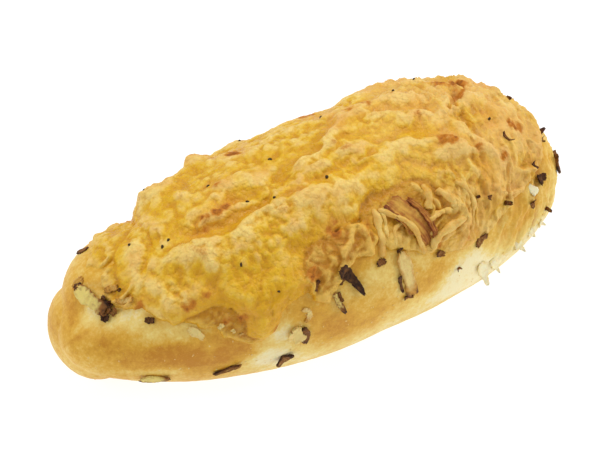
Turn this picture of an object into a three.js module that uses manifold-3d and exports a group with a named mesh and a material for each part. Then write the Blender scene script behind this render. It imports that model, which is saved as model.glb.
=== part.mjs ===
// A demi baguette baked under melted cheese, with shreds of onion and leek, as a three.js scene graph.
// Millimetres. +X runs along the loaf, +Z is up, and the origin is the centre of the flat base.
import * as THREE from 'three';
import { mergeVertices } from 'three/addons/utils/BufferGeometryUtils.js';
import Module from 'manifold-3d';

const wasm = await Module();
wasm.setup();

// ---- Driving dimensions ----

// The bread: a blunt superellipsoid, narrower and lower towards its -X end.
const LENGTH = 205;
const HALF_WIDTH = 43;
const HEIGHT = 60.7;
const WIDEST_AT = 0.42; // share of the height where the bread is widest
const END_POWER = { minus: 2.22, plus: 2.95 }; // 2 is an ellipse, more is blunter
const SECTION_POWER = 2.25;
const END_TAPER = { minus: 0.226, plus: 0.012 };
const TOP_TAPER = 0.065; // how much lower than narrow the -X end is
const BEND = 1.3; // sideways sag of the middle
const BASE_ROUNDING = 3; // how softly the side turns into the flat base

// Two bulges of dough at the -X end, which grow out of the loaf as seen from a point inside it.
const INNER_POINT = new THREE.Vector3(-40, 2, 22);
const SHOULDER = { centre: [-69.9, 9.5, 27.6], radii: [25.8, 23.3, 20.5], blend: 5 };
const END_LOBE = { centre: [-87.9, 7.8, 17.3], radii: [14.9, 20.2, 16.95], blend: 0 };
const BULGES_START_AT = -35; // x, and the length over which they come in
const BULGES_RAMP = 15;

// The melted cheese: a sheet that follows the bread, with a rounded edge.
const CHEESE_THICKNESS = 3.5;
const CHEESE_EDGE_ROUND = 5;
const CHEESE_SUNK = 2; // how far its unused rest lies inside the bread
const GAP = 0.3; // clearance between touching pieces
const MM_PER_DEGREE = 0.73; // arc of a mean section

// Its outline on the near side and at the ends, as [x, angle]: 0 is the top, minus is the near side.
const CHEESE_OUTLINE = [
  [-57, 66], [-57, 56], [-60, 46], [-62, 36], [-66, 28], [-72, 22], [-77, 14], [-79, 4], [-79, -10],
  [-77, -26], [-74, -42], [-69, -51], [-63, -49], [-55, -48], [-50, -53], [-47, -60], [-47, -74],
  [-43, -79], [-37, -76], [-34, -66], [-30, -62], [-24, -59], [-19, -56], [-21, -46], [-18, -38],
  [-9, -37], [5, -35],
  [8, -28], [16, -26], [22, -28], [31, -27], [36, -31], [38, -38], [37, -46], [32, -54], [29, -60],
  [34, -70], [40, -74], [47, -72], [47, -58], [50, -50], [55, -48], [60, -57], [65, -54], [73, -46],
  [82, -38], [88, -24], [94, -4], [95, 20], [91, 44], [84, 60],
];
// Thin films of cheese beyond the sheet's edge: in its two bays, beside the tongue and round both ends.
const FILM_THICKNESS = 1.4;
const FILM_EDGE_ROUND = 2;
const FILMS = [
  [[-23, -46], [-18, -34], [6, -31], [8, -46], [4, -52], [-4, -48], [-12, -49], [-18, -62], [-22, -60]],
  [[-68, -46], [-61, -58], [-55, -68], [-49, -77], [-43, -76], [-42, -60], [-54, -42]],
  [[4, -30], [10, -20], [34, -20], [42, -36], [41, -60], [35, -68], [28, -64], [20, -58], [11, -54]],
  [[46, -38], [48, -64], [56, -62], [66, -58], [74, -52], [84, -46], [91, -34], [97, -18], [98, 0],
    [98, 22], [93, 44], [80, 36]],
  [[-54, 74], [-68, 64], [-75, 52], [-78, 38], [-78, 16], [-66, 20], [-58, 40]],
];
// On the far side it ends at a mean angle, with tongues that run further down.
const FAR_EDGE = { angle: 75, from: 78, to: -58, step: 4, wave: 5, waveLength: 31, tongue: 9 };

// Ridges and turned edges of the sheet: a line of [x, angle], height, and the reach of its near and far slopes.
const FOLDS = [
  { line: [[-49, -12], [-39, -18], [-30, -16], [-14, -15], [3, -12], [14, -11]], height: 2.5, near: 9, far: 3 },
  { line: [[-17, -9], [-7, -7], [3, -4], [13, -4], [19, -8]], height: 2.1, near: 3.4, far: 3 },
  { line: [[-53, 56], [-55, 45], [-49, 40], [-40, 43], [-29, 47]], height: 2.9, near: 5, far: 7 },
  { line: [[-59, 14], [-58, 24], [-55, 38]], height: 1.5, near: 9, far: 3.4 },
  { line: [[-29, 50], [-24, 50]], height: 1.5, near: 3.6, far: 3.6 },
  { line: [[-49, 31], [-42, 17], [-34, 14]], height: 1.4, near: 3.6, far: 4.2 },
  { line: [[-49, 6], [-43, 6], [-36, 8]], height: 1.5, near: 3.6, far: 3.2 },
  { line: [[-42, -1], [-35, 0], [-30, -3]], height: 1.2, near: 3.2, far: 3 },
  { line: [[-29, 11], [-23, 10], [-18, 4]], height: 1.3, near: 3.6, far: 3.6 },
  { line: [[10, 8], [29, 18], [40, 10], [48, 4], [58, -6], [62, -20]], height: 2.3, near: 5, far: 3.2 },
  { line: [[-5, 0], [11, 4], [21, -4], [26, -9], [39, -11], [46, -15], [54, -23]], height: 2.3, near: 5, far: 3.2 },
  { line: [[24, 22], [44, 27], [52, 20], [62, 10], [62, 2]], height: 2.2, near: 4.6, far: 3.6 },
  { line: [[65, 4], [74, 7], [77, -7], [75, -18]], height: 1.8, near: 4, far: 3.8 },
  { line: [[46, -21], [57, -25], [67, -34]], height: 1.6, near: 3.8, far: 3.4 },
  { line: [[-13, -18], [9, -20], [23, -20], [40, -29]], height: 1.6, near: 4.6, far: 3.4 },
  { line: [[-18, -29], [-5, -27], [9, -29], [20, -31]], height: 1.3, near: 6, far: 4.4 },
  { line: [[33, -33], [40, -42], [42, -54]], height: 1.5, near: 4.6, far: 4.6 },
  { line: [[-44, -51], [-40, -72]], height: 1.0, near: 4, far: 4 },
  { line: [[-74, -16], [-70, -33], [-62, -44]], height: 1.2, near: 4, far: 4 },
  { line: [[-65, -8], [-56, -16], [-49, -25]], height: 1.3, near: 5, far: 4 },
  { line: [[-56, 62], [-34, 68], [-10, 61]], height: 1.7, near: 4, far: 6 },
  { line: [[-14, 48], [4, 47], [20, 45], [30, 46]], height: -0.9, near: 9, far: 12 },
  { line: [[38, 46], [50, 48], [62, 44]], height: 2.4, near: 6, far: 6 },
  { line: [[68, 44], [82, 32]], height: -0.6, near: 7, far: 8 },
  { line: [[50, 62], [68, 52], [80, 34]], height: 1.7, near: 5, far: 5 },
];
// Ruffles of the sheet beside the +X bay, and of the films: long ridges this far apart, and their height.
const RUFFLES = { x: 43, angle: -50, reach: [12, 15], apart: 5.5, turn: 50, height: 1.2 };

// Lumps, as domes round jittered centres: small and round over the -X half, long and low over the rest.
const LUMPS = [
  { cell: [9, 9, 9], height: 1.6, seed: 11, over: 'minus' },
  { cell: [17, 9, 9], height: 1.1, seed: 12, over: 'plus' },
];
const LUMPS_CHANGE_AT = -8;
const LUMPS_CHANGE_OVER = 24;

// Strands of cheese that hang from its near edge: line, width and thickness.
const CHEESE_STRANDS = [
  { line: [[11, -34], [10.4, -42], [9.6, -49], [7.4, -57]], width: 3, thick: 2.2 },
  { line: [[13, -34], [18.4, -42], [22.8, -51], [24.4, -65]], width: 2.2, thick: 2.4 },
  { line: [[-26, -55], [-30, -64], [-31, -71]], width: 2.2, thick: 1.5 },
  { line: [[60, -54], [63, -62], [62, -68]], width: 2.4, thick: 1.5 },
];

// Shreds of onion and leek that lie on bare crust, each a piece of its own.
const SHREDS = {
  leek_end: { line: [[-86.5, 21], [-87, 8], [-87, -4], [-86, -16]], width: 6, thick: 1.2, curl: 0.2 },
  leek_base_left: { line: [[-83, -108], [-79, -110], [-74, -109]], width: 3.4, thick: 1.2, curl: 0.3 },
  leek_base_mid: { line: [[-59, -108], [-54, -104], [-50, -99]], width: 3, thick: 1.2, curl: 0.7 },
  leek_base_curl: { line: [[-37, -106], [-34, -104], [-31, -102]], width: 3.4, thick: 1.1, curl: 1.3 },
  onion_chunk: { line: [[-31.6, -79], [-30, -83], [-28.6, -88]], width: 5, thick: 1.7, curl: 0.4 },
  leek_fork: { line: [[-11, -56], [-7, -57], [-4.6, -62], [-3, -71]], width: 4.4, thick: 1.2, curl: 0.5 },
  leek_stalk: { line: [[-14, -66], [-13, -72], [-11, -79]], width: 2, thick: 1.2, curl: 0.4 },
  onion_strip: { line: [[15, -64], [15.5, -72], [16.2, -80], [17.4, -88]], width: 4.8, thick: 1.2, curl: 0.2 },
  leek_far_end: { line: [[97, -53], [97.2, -61], [96, -70]], width: 3.6, thick: 1.2, curl: 0.35 },
  onion_far_left: { line: [[-50, 92], [-45, 98], [-38, 101]], width: 3.8, thick: 1.2, curl: 0.6 },
  leek_far_mid: { line: [[4, 90], [10, 96], [12, 104]], width: 3.2, thick: 1.2, curl: 0.9 },
  onion_far_right: { line: [[52, 88], [60, 93], [66, 92]], width: 4, thick: 1.2, curl: 0.6 },
};
const SHRED_STEPS = 8;

// Small flakes, fused to the bread where it is bare, or to the cheese: [x, angle, length, turn].
const BREAD_FLAKES = [
  [-77, -64, 4, 20], [31, -76, 4, 160], [39, -86, 3, 30], [51, -76, 5, 75], [59, -76, 3, 10], [84, -60, 5, 10],
  [77, -70, 5, 80], [67, -76, 3, 40], [100, -30, 3, 50], [90, -90, 4, 60], [-22, -78, 4, 10], [-14, -90, 4, 60],
];
const CHEESE_FLAKES = [[89, 8, 3, 30], [74, -25, 4, 60], [80, 30, 4, 10], [-57, 0, 2, 40], [-10, 15, 2, 0]];
const SCATTERED_FLAKES = { count: 12, seed: 13, minLength: 3, maxLength: 5, from: 86, to: 112 };
const FLAKE = { width: 2.6, thick: 1.1, curl: 0.5, steps: 3, sunk: 0.35 };

// Mesh fineness.
const BREAD_RINGS = 46;
const BREAD_SLICES = 48;
const CHEESE_RINGS = 79;
const CHEESE_FINE_SLICES = 56; // over the top, out to CHEESE_FINE_ANGLE on both sides
const CHEESE_COARSE_SLICES = 5;
const CHEESE_FINE_ANGLE = 98;

// ---- Small helpers ----

const { clamp, degToRad, lerp, smoothstep } = THREE.MathUtils;

// A repeatable number from 0 to 1 for three whole numbers and a seed.
function hash(i, j, k, seed) {
  let h = Math.imul(i, 374761393) + Math.imul(j, 668265263) + Math.imul(k, 1274126177) + Math.imul(seed, 974634777);
  h = Math.imul(h ^ (h >>> 13), 1103515245);
  h = Math.imul(h ^ (h >>> 16), 668265263);
  return ((h ^ (h >>> 15)) >>> 0) / 4294967296;
}

// Height from 0 to 1 of the highest dome over a point, one dome to each cell of a jittered lattice.
function domes(point, cell, seed) {
  const at = [point.x / cell[0], point.y / cell[1], point.z / cell[2]];
  const home = at.map(Math.floor);
  let nearest = 9;
  for (let i = home[0] - 1; i <= home[0] + 1; i++) {
    for (let j = home[1] - 1; j <= home[1] + 1; j++) {
      for (let k = home[2] - 1; k <= home[2] + 1; k++) {
        const dx = i + hash(i, j, k, seed) - at[0];
        const dy = j + hash(i, j, k, seed + 100) - at[1];
        const dz = k + hash(i, j, k, seed + 200) - at[2];
        nearest = Math.min(nearest, dx * dx + dy * dy + dz * dz);
      }
    }
  }
  return clamp(1 - nearest, 0, 1);
}

// Signed offset of (x, v) from a line of points, positive to its left, and how far along it beyond an end.
function offsetFromLine(x, v, line) {
  let best = { distance: Infinity, side: 1 };
  for (let i = 0; i + 1 < line.length; i++) {
    const [ax, av] = line[i];
    const ex = line[i + 1][0] - ax;
    const ev = line[i + 1][1] - av;
    const share = clamp(((x - ax) * ex + (v - av) * ev) / (ex * ex + ev * ev), 0, 1);
    const distance = Math.hypot(x - ax - share * ex, v - av - share * ev);
    if (distance < best.distance) {
      best = { distance, side: Math.sign(ex * (v - av) - ev * (x - ax)) || 1 };
    }
  }
  return best;
}

const unrolled = (line) => line.map(([x, angle]) => [x, angle * MM_PER_DEGREE]);

// ---- The bread's form ----

// Distance from the inner point along a direction to the far side of a bulge, or -1 where it is missed.
function reachOfBulge(direction, { centre, radii }) {
  const size = new THREE.Vector3(...radii);
  const offset = new THREE.Vector3(...centre).sub(INNER_POINT).divide(size);
  const ray = direction.clone().divide(size);
  const a = ray.lengthSq();
  const b = ray.dot(offset);
  const inside = b * b - a * (offset.lengthSq() - 1);
  return inside > 0 ? (b + Math.sqrt(inside)) / a : -1;
}

function smoothMax(a, b, width) {
  if (width === 0) return Math.max(a, b);
  const share = clamp(0.5 + (0.5 * (a - b)) / width, 0, 1);
  return lerp(b, a, share) + width * share * (1 - share);
}

// A point of the bread's surface. along is x as a share of the half length, angle is in degrees from the top.
function breadPoint(along, angle) {
  const power = along < 0 ? END_POWER.minus : END_POWER.plus;
  const girth = Math.max(0, 1 - Math.abs(along) ** power) ** (1 / power);
  const across = Math.sin(degToRad(angle));
  const up = Math.cos(degToRad(angle));
  const round = (Math.abs(across) ** SECTION_POWER + Math.abs(up) ** SECTION_POWER) ** (-1 / SECTION_POWER);
  const minusEnd = Math.max(0, -along) ** 1.5;
  const plusEnd = Math.max(0, along) ** 1.5;
  const width = 1 - END_TAPER.minus * minusEnd - END_TAPER.plus * plusEnd;
  const height = width - TOP_TAPER * minusEnd;
  const middle = WIDEST_AT * HEIGHT;
  const point = new THREE.Vector3(
    (LENGTH / 2) * along,
    HALF_WIDTH * width * across * round * girth + BEND * (along * along - 0.33),
    middle * lerp(height, 1, 0.55) + (HEIGHT - middle) * height * up * round * girth,
  );
  const bulging = clamp((BULGES_START_AT - point.x) / BULGES_RAMP, 0, 1);
  if (bulging > 0) {
    const ray = point.clone().sub(INNER_POINT);
    const plain = ray.length();
    ray.normalize();
    let reach = plain;
    for (const bulge of [SHOULDER, END_LOBE]) {
      const bulgeReach = reachOfBulge(ray, bulge);
      if (bulgeReach > 0) reach = smoothMax(reach, bulgeReach, bulge.blend);
    }
    point.copy(INNER_POINT).addScaledVector(ray, lerp(plain, reach, bulging));
  }
  return point;
}

// Unit normal of that surface, from short steps both ways.
function breadNormal(along, angle) {
  const step = 0.002;
  if (Math.abs(along) > 1 - step) return new THREE.Vector3(Math.sign(along), 0, 0);
  const length = breadPoint(along + step, angle).sub(breadPoint(along - step, angle));
  const round = breadPoint(along, angle + 0.3).sub(breadPoint(along, angle - 0.3));
  return round.cross(length).normalize().negate();
}

// The same surface with what lies under the base plane pressed flat onto it.
function setDown(point) {
  const z = point.z;
  if (z < -BASE_ROUNDING) point.z = 0;
  else if (z < BASE_ROUNDING) point.z = (z + BASE_ROUNDING) ** 2 / (4 * BASE_ROUNDING);
  return point;
}

// Shares of the half length from end to end, at even steps along the loaf's outline.
function evenStations(rings) {
  const samples = 4000;
  const power = (end) => (end < 0 ? END_POWER.minus : END_POWER.plus);
  const outline = (i) => {
    const turn = (Math.PI * i) / samples;
    const c = -Math.cos(turn);
    const s = Math.sin(turn);
    const reach = (Math.abs(c) ** power(c) + s ** power(c)) ** (-1 / power(c));
    return [c * reach, s * reach];
  };
  const lengths = [0];
  for (let i = 1; i <= samples; i++) {
    const [ax, ar] = outline(i - 1);
    const [bx, br] = outline(i);
    lengths.push(lengths[i - 1] + Math.hypot(((bx - ax) * LENGTH) / 2, (br - ar) * HALF_WIDTH));
  }
  const stations = [];
  let sample = 0;
  for (let ring = 1; ring < rings; ring++) {
    while (lengths[sample] < (lengths[samples] * ring) / rings) sample++;
    stations.push(outline(sample)[0]);
  }
  return stations;
}

// ---- The cheese's form ----

function farEdge() {
  const points = [];
  for (let x = FAR_EDGE.from; x >= FAR_EDGE.to; x -= FAR_EDGE.step) {
    const wave = FAR_EDGE.wave * Math.sin((2 * Math.PI * x) / FAR_EDGE.waveLength);
    const tongue = FAR_EDGE.tongue * hash(x, 0, 0, 5) ** 2;
    points.push([x, FAR_EDGE.angle + wave + tongue]);
  }
  return points;
}

const sheetOutline = unrolled([...CHEESE_OUTLINE, ...farEdge(), CHEESE_OUTLINE[0]]);
const filmOutlines = FILMS.map((film) => unrolled([...film, film[0]]));

// Distance inside a closed outline, negative outside, measured over the unrolled surface.
function insideOutline(x, v, outline) {
  let inside = false;
  for (let i = 0; i + 1 < outline.length; i++) {
    const [ax, av] = outline[i];
    const [bx, bv] = outline[i + 1];
    if (av > v !== bv > v && x < ax + ((v - av) * (bx - ax)) / (bv - av)) inside = !inside;
  }
  const { distance } = offsetFromLine(x, v, outline);
  return inside ? distance : -distance;
}

const folds = FOLDS.map((fold) => ({ ...fold, line: unrolled(fold.line) }));

const rounded = (inside, reach) => {
  const share = clamp(inside / reach, 0, 1);
  return Math.sqrt(share * (2 - share));
};

// Long ridges from 0 to 1, turned from the loaf's length.
function ruffles(x, v) {
  const turn = degToRad(RUFFLES.turn);
  const across = v * Math.cos(turn) - x * Math.sin(turn);
  const along = x * Math.cos(turn) + v * Math.sin(turn);
  return Math.cos((Math.PI * across) / RUFFLES.apart + Math.sin(along / 4)) ** 2;
}

// Height of the cheese over the bread at a place, or how far its unused rest is sunk.
function cheeseHeight(x, angle, point) {
  const v = angle * MM_PER_DEGREE;
  const away = [(x - RUFFLES.x) / RUFFLES.reach[0], (v - RUFFLES.angle * MM_PER_DEGREE) / RUFFLES.reach[1]];
  const ruffled = Math.exp(-(Math.hypot(...away) ** 4));
  let height = CHEESE_THICKNESS + ruffled * RUFFLES.height * (ruffles(x, v) - 0.5);
  for (const { line, height: rise, near, far } of folds) {
    const { distance, side } = offsetFromLine(x, v, line);
    const reach = side * Math.sign(line[line.length - 1][0] - line[0][0]) > 0 ? far : near;
    height += rise * Math.exp(-((distance / reach) ** 2.5));
  }
  const plus = smoothstep(x, LUMPS_CHANGE_AT, LUMPS_CHANGE_AT + LUMPS_CHANGE_OVER);
  for (const { cell, height: rise, seed, over } of LUMPS) {
    height += rise * (domes(point, cell, seed) - 0.6) * (over === 'plus' ? plus : 1 - plus);
  }
  const inside = insideOutline(x, v, sheetOutline);
  let top = Math.max(height, FILM_THICKNESS) * rounded(inside, CHEESE_EDGE_ROUND);
  let covered = inside > 0;
  for (const film of filmOutlines) {
    const within = insideOutline(x, v, film);
    top = Math.max(top, (FILM_THICKNESS + 0.5 * ruffles(x, v)) * rounded(within, FILM_EDGE_ROUND));
    covered ||= within > 0;
  }
  return covered ? top : -CHEESE_SUNK;
}

// ---- Meshes and solids ----

// A closed surface of rings between two end points. pointAt takes a share of the half length and an angle.
function closedSkin(stations, angles, pointAt) {
  const positions = [];
  const indices = [];
  const add = (point) => positions.push(point.x, point.y, point.z);
  add(pointAt(-1, 0));
  for (const along of stations) {
    for (const angle of angles) add(pointAt(along, angle));
  }
  add(pointAt(1, 0));
  const count = angles.length;
  const last = 1 + stations.length * count;
  const vertex = (ring, slice) => 1 + ring * count + (slice % count);
  for (let slice = 0; slice < count; slice++) {
    indices.push(0, vertex(0, slice), vertex(0, slice + 1));
    for (let ring = 0; ring + 1 < stations.length; ring++) {
      const [a, b] = [vertex(ring, slice), vertex(ring, slice + 1)];
      const [c, d] = [vertex(ring + 1, slice), vertex(ring + 1, slice + 1)];
      indices.push(a, c, b, b, c, d);
    }
    indices.push(last, vertex(stations.length - 1, slice + 1), vertex(stations.length - 1, slice));
  }
  const geometry = new THREE.BufferGeometry();
  geometry.setAttribute('position', new THREE.Float32BufferAttribute(positions, 3));
  geometry.setIndex(indices);
  return geometry;
}

function solid(geometry) {
  const merged = mergeVertices(geometry, 1e-4);
  return new wasm.Manifold(
    new wasm.Mesh({
      numProp: 3,
      vertProperties: new Float32Array(merged.attributes.position.array),
      triVerts: new Uint32Array(merged.index.array),
    }),
  );
}

// The outer skin of the largest piece, which also fills any hollow that joining sealed.
const largest = (body) => body.decompose().reduce((a, b) => (a.volume() > b.volume() ? a : b));

function geometryOf(body) {
  const { numProp, vertProperties, triVerts } = body.getMesh();
  const positions = [];
  for (let i = 0; i < vertProperties.length; i += numProp) {
    positions.push(vertProperties[i], vertProperties[i + 1], vertProperties[i + 2]);
  }
  const geometry = new THREE.BufferGeometry();
  geometry.setAttribute('position', new THREE.Float32BufferAttribute(positions, 3));
  geometry.setIndex([...triVerts]);
  geometry.computeVertexNormals();
  return geometry;
}

// A thin ribbon along a line of [x, angle], lifted over the bread, narrow and curled up at both tips.
// Both of its faces are split into triangles alike.
function ribbon({ line, width, thick, curl = 0 }, lift, steps) {
  const ends = line.map(([x, angle]) => new THREE.Vector3(x, angle, 0));
  const curve = new THREE.CatmullRomCurve3(ends);
  const positions = [];
  const indices = [];
  const place = (share) => {
    const at = curve.getPoint(clamp(share, 0, 1));
    return { point: breadPoint((2 * at.x) / LENGTH, at.y), normal: breadNormal((2 * at.x) / LENGTH, at.y) };
  };
  for (let step = 0; step <= steps; step++) {
    const share = step / steps;
    const { point, normal } = place(share);
    const forward = place(share + 0.02).point.sub(place(share - 0.02).point).normalize();
    const sideways = new THREE.Vector3().crossVectors(normal, forward).normalize();
    const tip = Math.abs(2 * share - 1);
    const half = (width / 2) * Math.sqrt(1 - 0.8 * tip ** 3) * (1 + 0.16 * Math.sin(9 * share + width));
    const rise = lift + curl * tip ** 2 * (1.6 + Math.sin(5 * share + 2 * width));
    const cup = 0.12 * width;
    for (const [side, top] of [[-1, 0], [1, 0], [1, 1], [-1, 1]]) {
      const edgeRise = rise + cup * (side * Math.sin(4 * share + width) + 1) * 0.5 + top * thick;
      const corner = point.clone().addScaledVector(sideways, side * half).addScaledVector(normal, edgeRise);
      positions.push(corner.x, corner.y, corner.z);
    }
  }
  for (let step = 0; step < steps; step++) {
    for (let side = 0; side < 4; side++) {
      const a = 4 * step + side;
      const b = 4 * step + ((side + 1) % 4);
      indices.push(a, b, a + 4, b, b + 4, a + 4);
    }
  }
  const end = 4 * steps;
  indices.push(0, 2, 1, 0, 3, 2, end, end + 1, end + 2, end, end + 2, end + 3);
  const geometry = new THREE.BufferGeometry();
  geometry.setAttribute('position', new THREE.Float32BufferAttribute(positions, 3));
  geometry.setIndex(indices);
  return geometry;
}

function flake([x, angle, length, turn], lift) {
  const dx = (length / 2) * Math.cos(degToRad(turn));
  const dAngle = ((length / 2) * Math.sin(degToRad(turn))) / MM_PER_DEGREE;
  const line = [[x - dx, angle - dAngle], [x, angle], [x + dx, angle + dAngle]];
  return solid(ribbon({ line, ...FLAKE }, lift, FLAKE.steps));
}

// Flakes at drawn places on the bare crust of the far side.
function scatteredFlakes() {
  const { count, seed, minLength, maxLength, from, to } = SCATTERED_FLAKES;
  const places = [];
  for (let i = 0; i < count; i++) {
    const x = lerp(-78, 86, (i + hash(i, 1, 0, seed)) / count);
    const angle = lerp(from, to, hash(i, 2, 0, seed));
    places.push([x, angle, lerp(minLength, maxLength, hash(i, 3, 0, seed)), 180 * hash(i, 4, 0, seed)]);
  }
  return places;
}

// ---- Pieces ----

function makeBread(extra) {
  const angles = Array.from({ length: BREAD_SLICES }, (_, i) => (360 * i) / BREAD_SLICES - 180);
  const pointAt = (along, angle) =>
    setDown(breadPoint(along, angle).addScaledVector(breadNormal(along, angle), extra));
  return solid(closedSkin(evenStations(BREAD_RINGS), angles, pointAt));
}

function makeCheese(clearBread) {
  const angles = [];
  for (let i = 0; i <= CHEESE_FINE_SLICES; i++) {
    angles.push(lerp(-CHEESE_FINE_ANGLE, CHEESE_FINE_ANGLE, i / CHEESE_FINE_SLICES));
  }
  for (let i = 1; i <= CHEESE_COARSE_SLICES; i++) {
    angles.push(lerp(CHEESE_FINE_ANGLE, 360 - CHEESE_FINE_ANGLE, i / (CHEESE_COARSE_SLICES + 1)));
  }
  const pointAt = (along, angle) => {
    const point = breadPoint(along, angle);
    const height = cheeseHeight(point.x, angle, point);
    return point.addScaledVector(breadNormal(along, angle), height);
  };
  let cheese = solid(closedSkin(evenStations(CHEESE_RINGS), angles, pointAt));
  for (const strand of CHEESE_STRANDS) {
    cheese = cheese.add(solid(ribbon(strand, GAP, SHRED_STEPS)));
  }
  for (const place of CHEESE_FLAKES) {
    const surface = breadPoint((2 * place[0]) / LENGTH, place[1]);
    cheese = cheese.add(flake(place, cheeseHeight(place[0], place[1], surface) - FLAKE.sunk));
  }
  return largest(cheese.subtract(clearBread));
}

const clearBread = makeBread(GAP);
let bread = makeBread(0);
for (const place of [...BREAD_FLAKES, ...scatteredFlakes()]) bread = bread.add(flake(place, -FLAKE.sunk));
bread = largest(bread);
const cheese = makeCheese(clearBread);

// ---- Scene graph ----

const crust = new THREE.MeshStandardMaterial({ color: 0xd9a557, roughness: 0.55, metalness: 0 });
const melted = new THREE.MeshStandardMaterial({ color: 0xdcab4b, roughness: 0.4, metalness: 0 });
const leek = new THREE.MeshStandardMaterial({ color: 0x4a2b1a, roughness: 0.7, metalness: 0 });
const onion = new THREE.MeshStandardMaterial({ color: 0xc58a3c, roughness: 0.45, metalness: 0 });

function piece(name, geometry, material) {
  const mesh = new THREE.Mesh(geometry, material);
  mesh.name = name;
  return mesh;
}

const baguette = new THREE.Group();
baguette.add(piece('loaf', geometryOf(bread), crust));
baguette.add(piece('cheese', geometryOf(cheese), melted));
for (const [name, shred] of Object.entries(SHREDS)) {
  const body = largest(solid(ribbon(shred, GAP + 0.1, SHRED_STEPS)).subtract(clearBread));
  baguette.add(piece(name, geometryOf(body), name.startsWith('leek') ? leek : onion));
}

export default baguette;
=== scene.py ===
"""A demi baguette baked under melted cheese with shreds of onion and leek. Sizes are in millimetres."""
import math

import bpy
import numpy as np
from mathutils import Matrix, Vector


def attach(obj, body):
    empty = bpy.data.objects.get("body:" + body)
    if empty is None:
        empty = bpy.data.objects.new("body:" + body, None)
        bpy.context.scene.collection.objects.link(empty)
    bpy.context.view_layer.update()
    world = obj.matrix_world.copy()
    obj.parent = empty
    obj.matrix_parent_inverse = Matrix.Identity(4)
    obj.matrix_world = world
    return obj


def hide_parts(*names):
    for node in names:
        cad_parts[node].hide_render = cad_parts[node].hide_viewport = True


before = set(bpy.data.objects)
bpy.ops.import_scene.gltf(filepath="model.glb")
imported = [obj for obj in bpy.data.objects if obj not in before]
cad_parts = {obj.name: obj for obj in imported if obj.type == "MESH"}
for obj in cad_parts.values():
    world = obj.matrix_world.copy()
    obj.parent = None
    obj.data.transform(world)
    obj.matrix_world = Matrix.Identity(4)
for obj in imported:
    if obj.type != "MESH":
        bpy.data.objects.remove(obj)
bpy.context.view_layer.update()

# ---- The bread ----
# A plump loaf of soft white dough, rolled by hand and baked free on a flat tray. Its thin crust is
# golden along the sides and cream where the next loaf or the cheese shaded it from the heat, and palest
# low on the near side, partly as painted highlight of light from below. One end was folded under, which
# left a lobe with a crease behind it and a shoulder above.

# The plain form: END_POWER and END_TAPER are for the near end, then for the far end.
LENGTH = 205
HALF_WIDTH = 43
HEIGHT = 60.7
WIDEST_AT = 0.42
END_POWER = (2.22, 2.95)
SECTION_POWER = 2.25
END_TAPER = (0.226, 0.012)
TOP_TAPER = 0.065
TAPER_POWER = 1.5
BEND = 1.3
BEND_LEVEL = 0.33
BASE_ROUNDING = 3
# The folded end: the shoulder and the lobe, as seen from a point inside the loaf, and where they begin.
INNER_POINT = np.array([-40.0, 2.0, 22.0])
BULGES = (
    {"centre": (-69.9, 9.5, 27.6), "radii": (25.8, 23.3, 20.5), "blend": 5},
    {"centre": (-87.9, 7.8, 17.3), "radii": (14.9, 20.2, 16.95), "blend": 0},
)
BULGES_START_AT = -35
BULGES_RAMP = 15
# Relief of the crust. Noise layers are a size in millimetres, a height and a seed.
SWELLS = ((30, 0.5, 31), (13, 0.2, 32))
DIMPLES = ((2.6, 0.09, 39),)
TORN_HEIGHT = 1.2
# The torn skin at the far end starts over a range of x, slanted about a level in degrees, and ends below.
TORN = {"x": (46, 64), "slant": 0.1, "level": 75, "below": (-118, -96)}
# The wrinkled shoulder above the lobe: middle, reach in x, reach in degrees, depth of its wrinkles.
SHOULDER = {"x": -84, "angle": 12, "reach": (6, 28), "depth": 0.45}
# Steps from end to end and round the loaf, and what a degree round it measures at the skin.
BREAD_RINGS = 280
BREAD_SLICES = 300
MM_PER_DEGREE = 0.73
MM = 0.001


def smooth(value, low, high):
    """0 below low, 1 above high, and a soft step between them."""
    share = np.clip((value - low) / (high - low), 0, 1)
    return share * share * (3 - 2 * share)


def hashed(i, j, k, seed):
    """Repeatable numbers from 0 to 1 for arrays of whole numbers and a seed."""
    i, j, k = [(np.asarray(n, np.int64) & 0xFFFFFFFF).astype(np.uint32) for n in (i, j, k)]
    seeded = np.uint32((seed * 974634777) & 0xFFFFFFFF)
    h = i * np.uint32(374761393) + j * np.uint32(668265263) + k * np.uint32(1274126177) + seeded
    h = (h ^ (h >> np.uint32(13))) * np.uint32(1103515245)
    h = (h ^ (h >> np.uint32(16))) * np.uint32(668265263)
    return (h ^ (h >> np.uint32(15))) / 4294967296.0


def noise(points, size, seed):
    """Gradient noise, mostly from -1 to 1, with features of that size, or sizes along X, Y and Z."""
    at = points / size
    home = np.floor(at)
    share = at - home
    ease = share * share * share * (share * (6 * share - 15) + 10)
    cell = home.astype(np.int64)
    total = 0
    for corner in np.ndindex(2, 2, 2):
        weight = np.prod(np.where(corner, ease, 1 - ease), axis=-1)
        ijk = np.moveaxis(cell + corner, -1, 0)
        slopes = [hashed(*ijk, seed + 1000 * axis) - 0.5 for axis in range(3)]
        total = total + weight * sum(slopes[axis] * (share[..., axis] - corner[axis]) for axis in range(3))
    return 3.2 * total


def layered(points, layers, start=0.0):
    """A start value with noise added in layers, each a size in millimetres, a height and a seed."""
    total = start
    for size, height, seed in layers:
        total = total + height * noise(points, size, seed)
    return total


def shifts(points, size, seed):
    """Noise of its own along each of X, Y and Z."""
    return np.stack([noise(points, size, seed + axis) for axis in range(3)], -1)


def reach_of_bulge(direction, centre, radii):
    """Distance from the inner point to the far side of a bulge, or -1 where a direction misses it."""
    offset = (np.array(centre) - INNER_POINT) / radii
    ray = direction / radii
    a = (ray * ray).sum(-1)
    b = (ray * offset).sum(-1)
    inside = b * b - a * (offset @ offset - 1)
    return np.where(inside > 0, (b + np.sqrt(np.maximum(inside, 0))) / a, -1)


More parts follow.
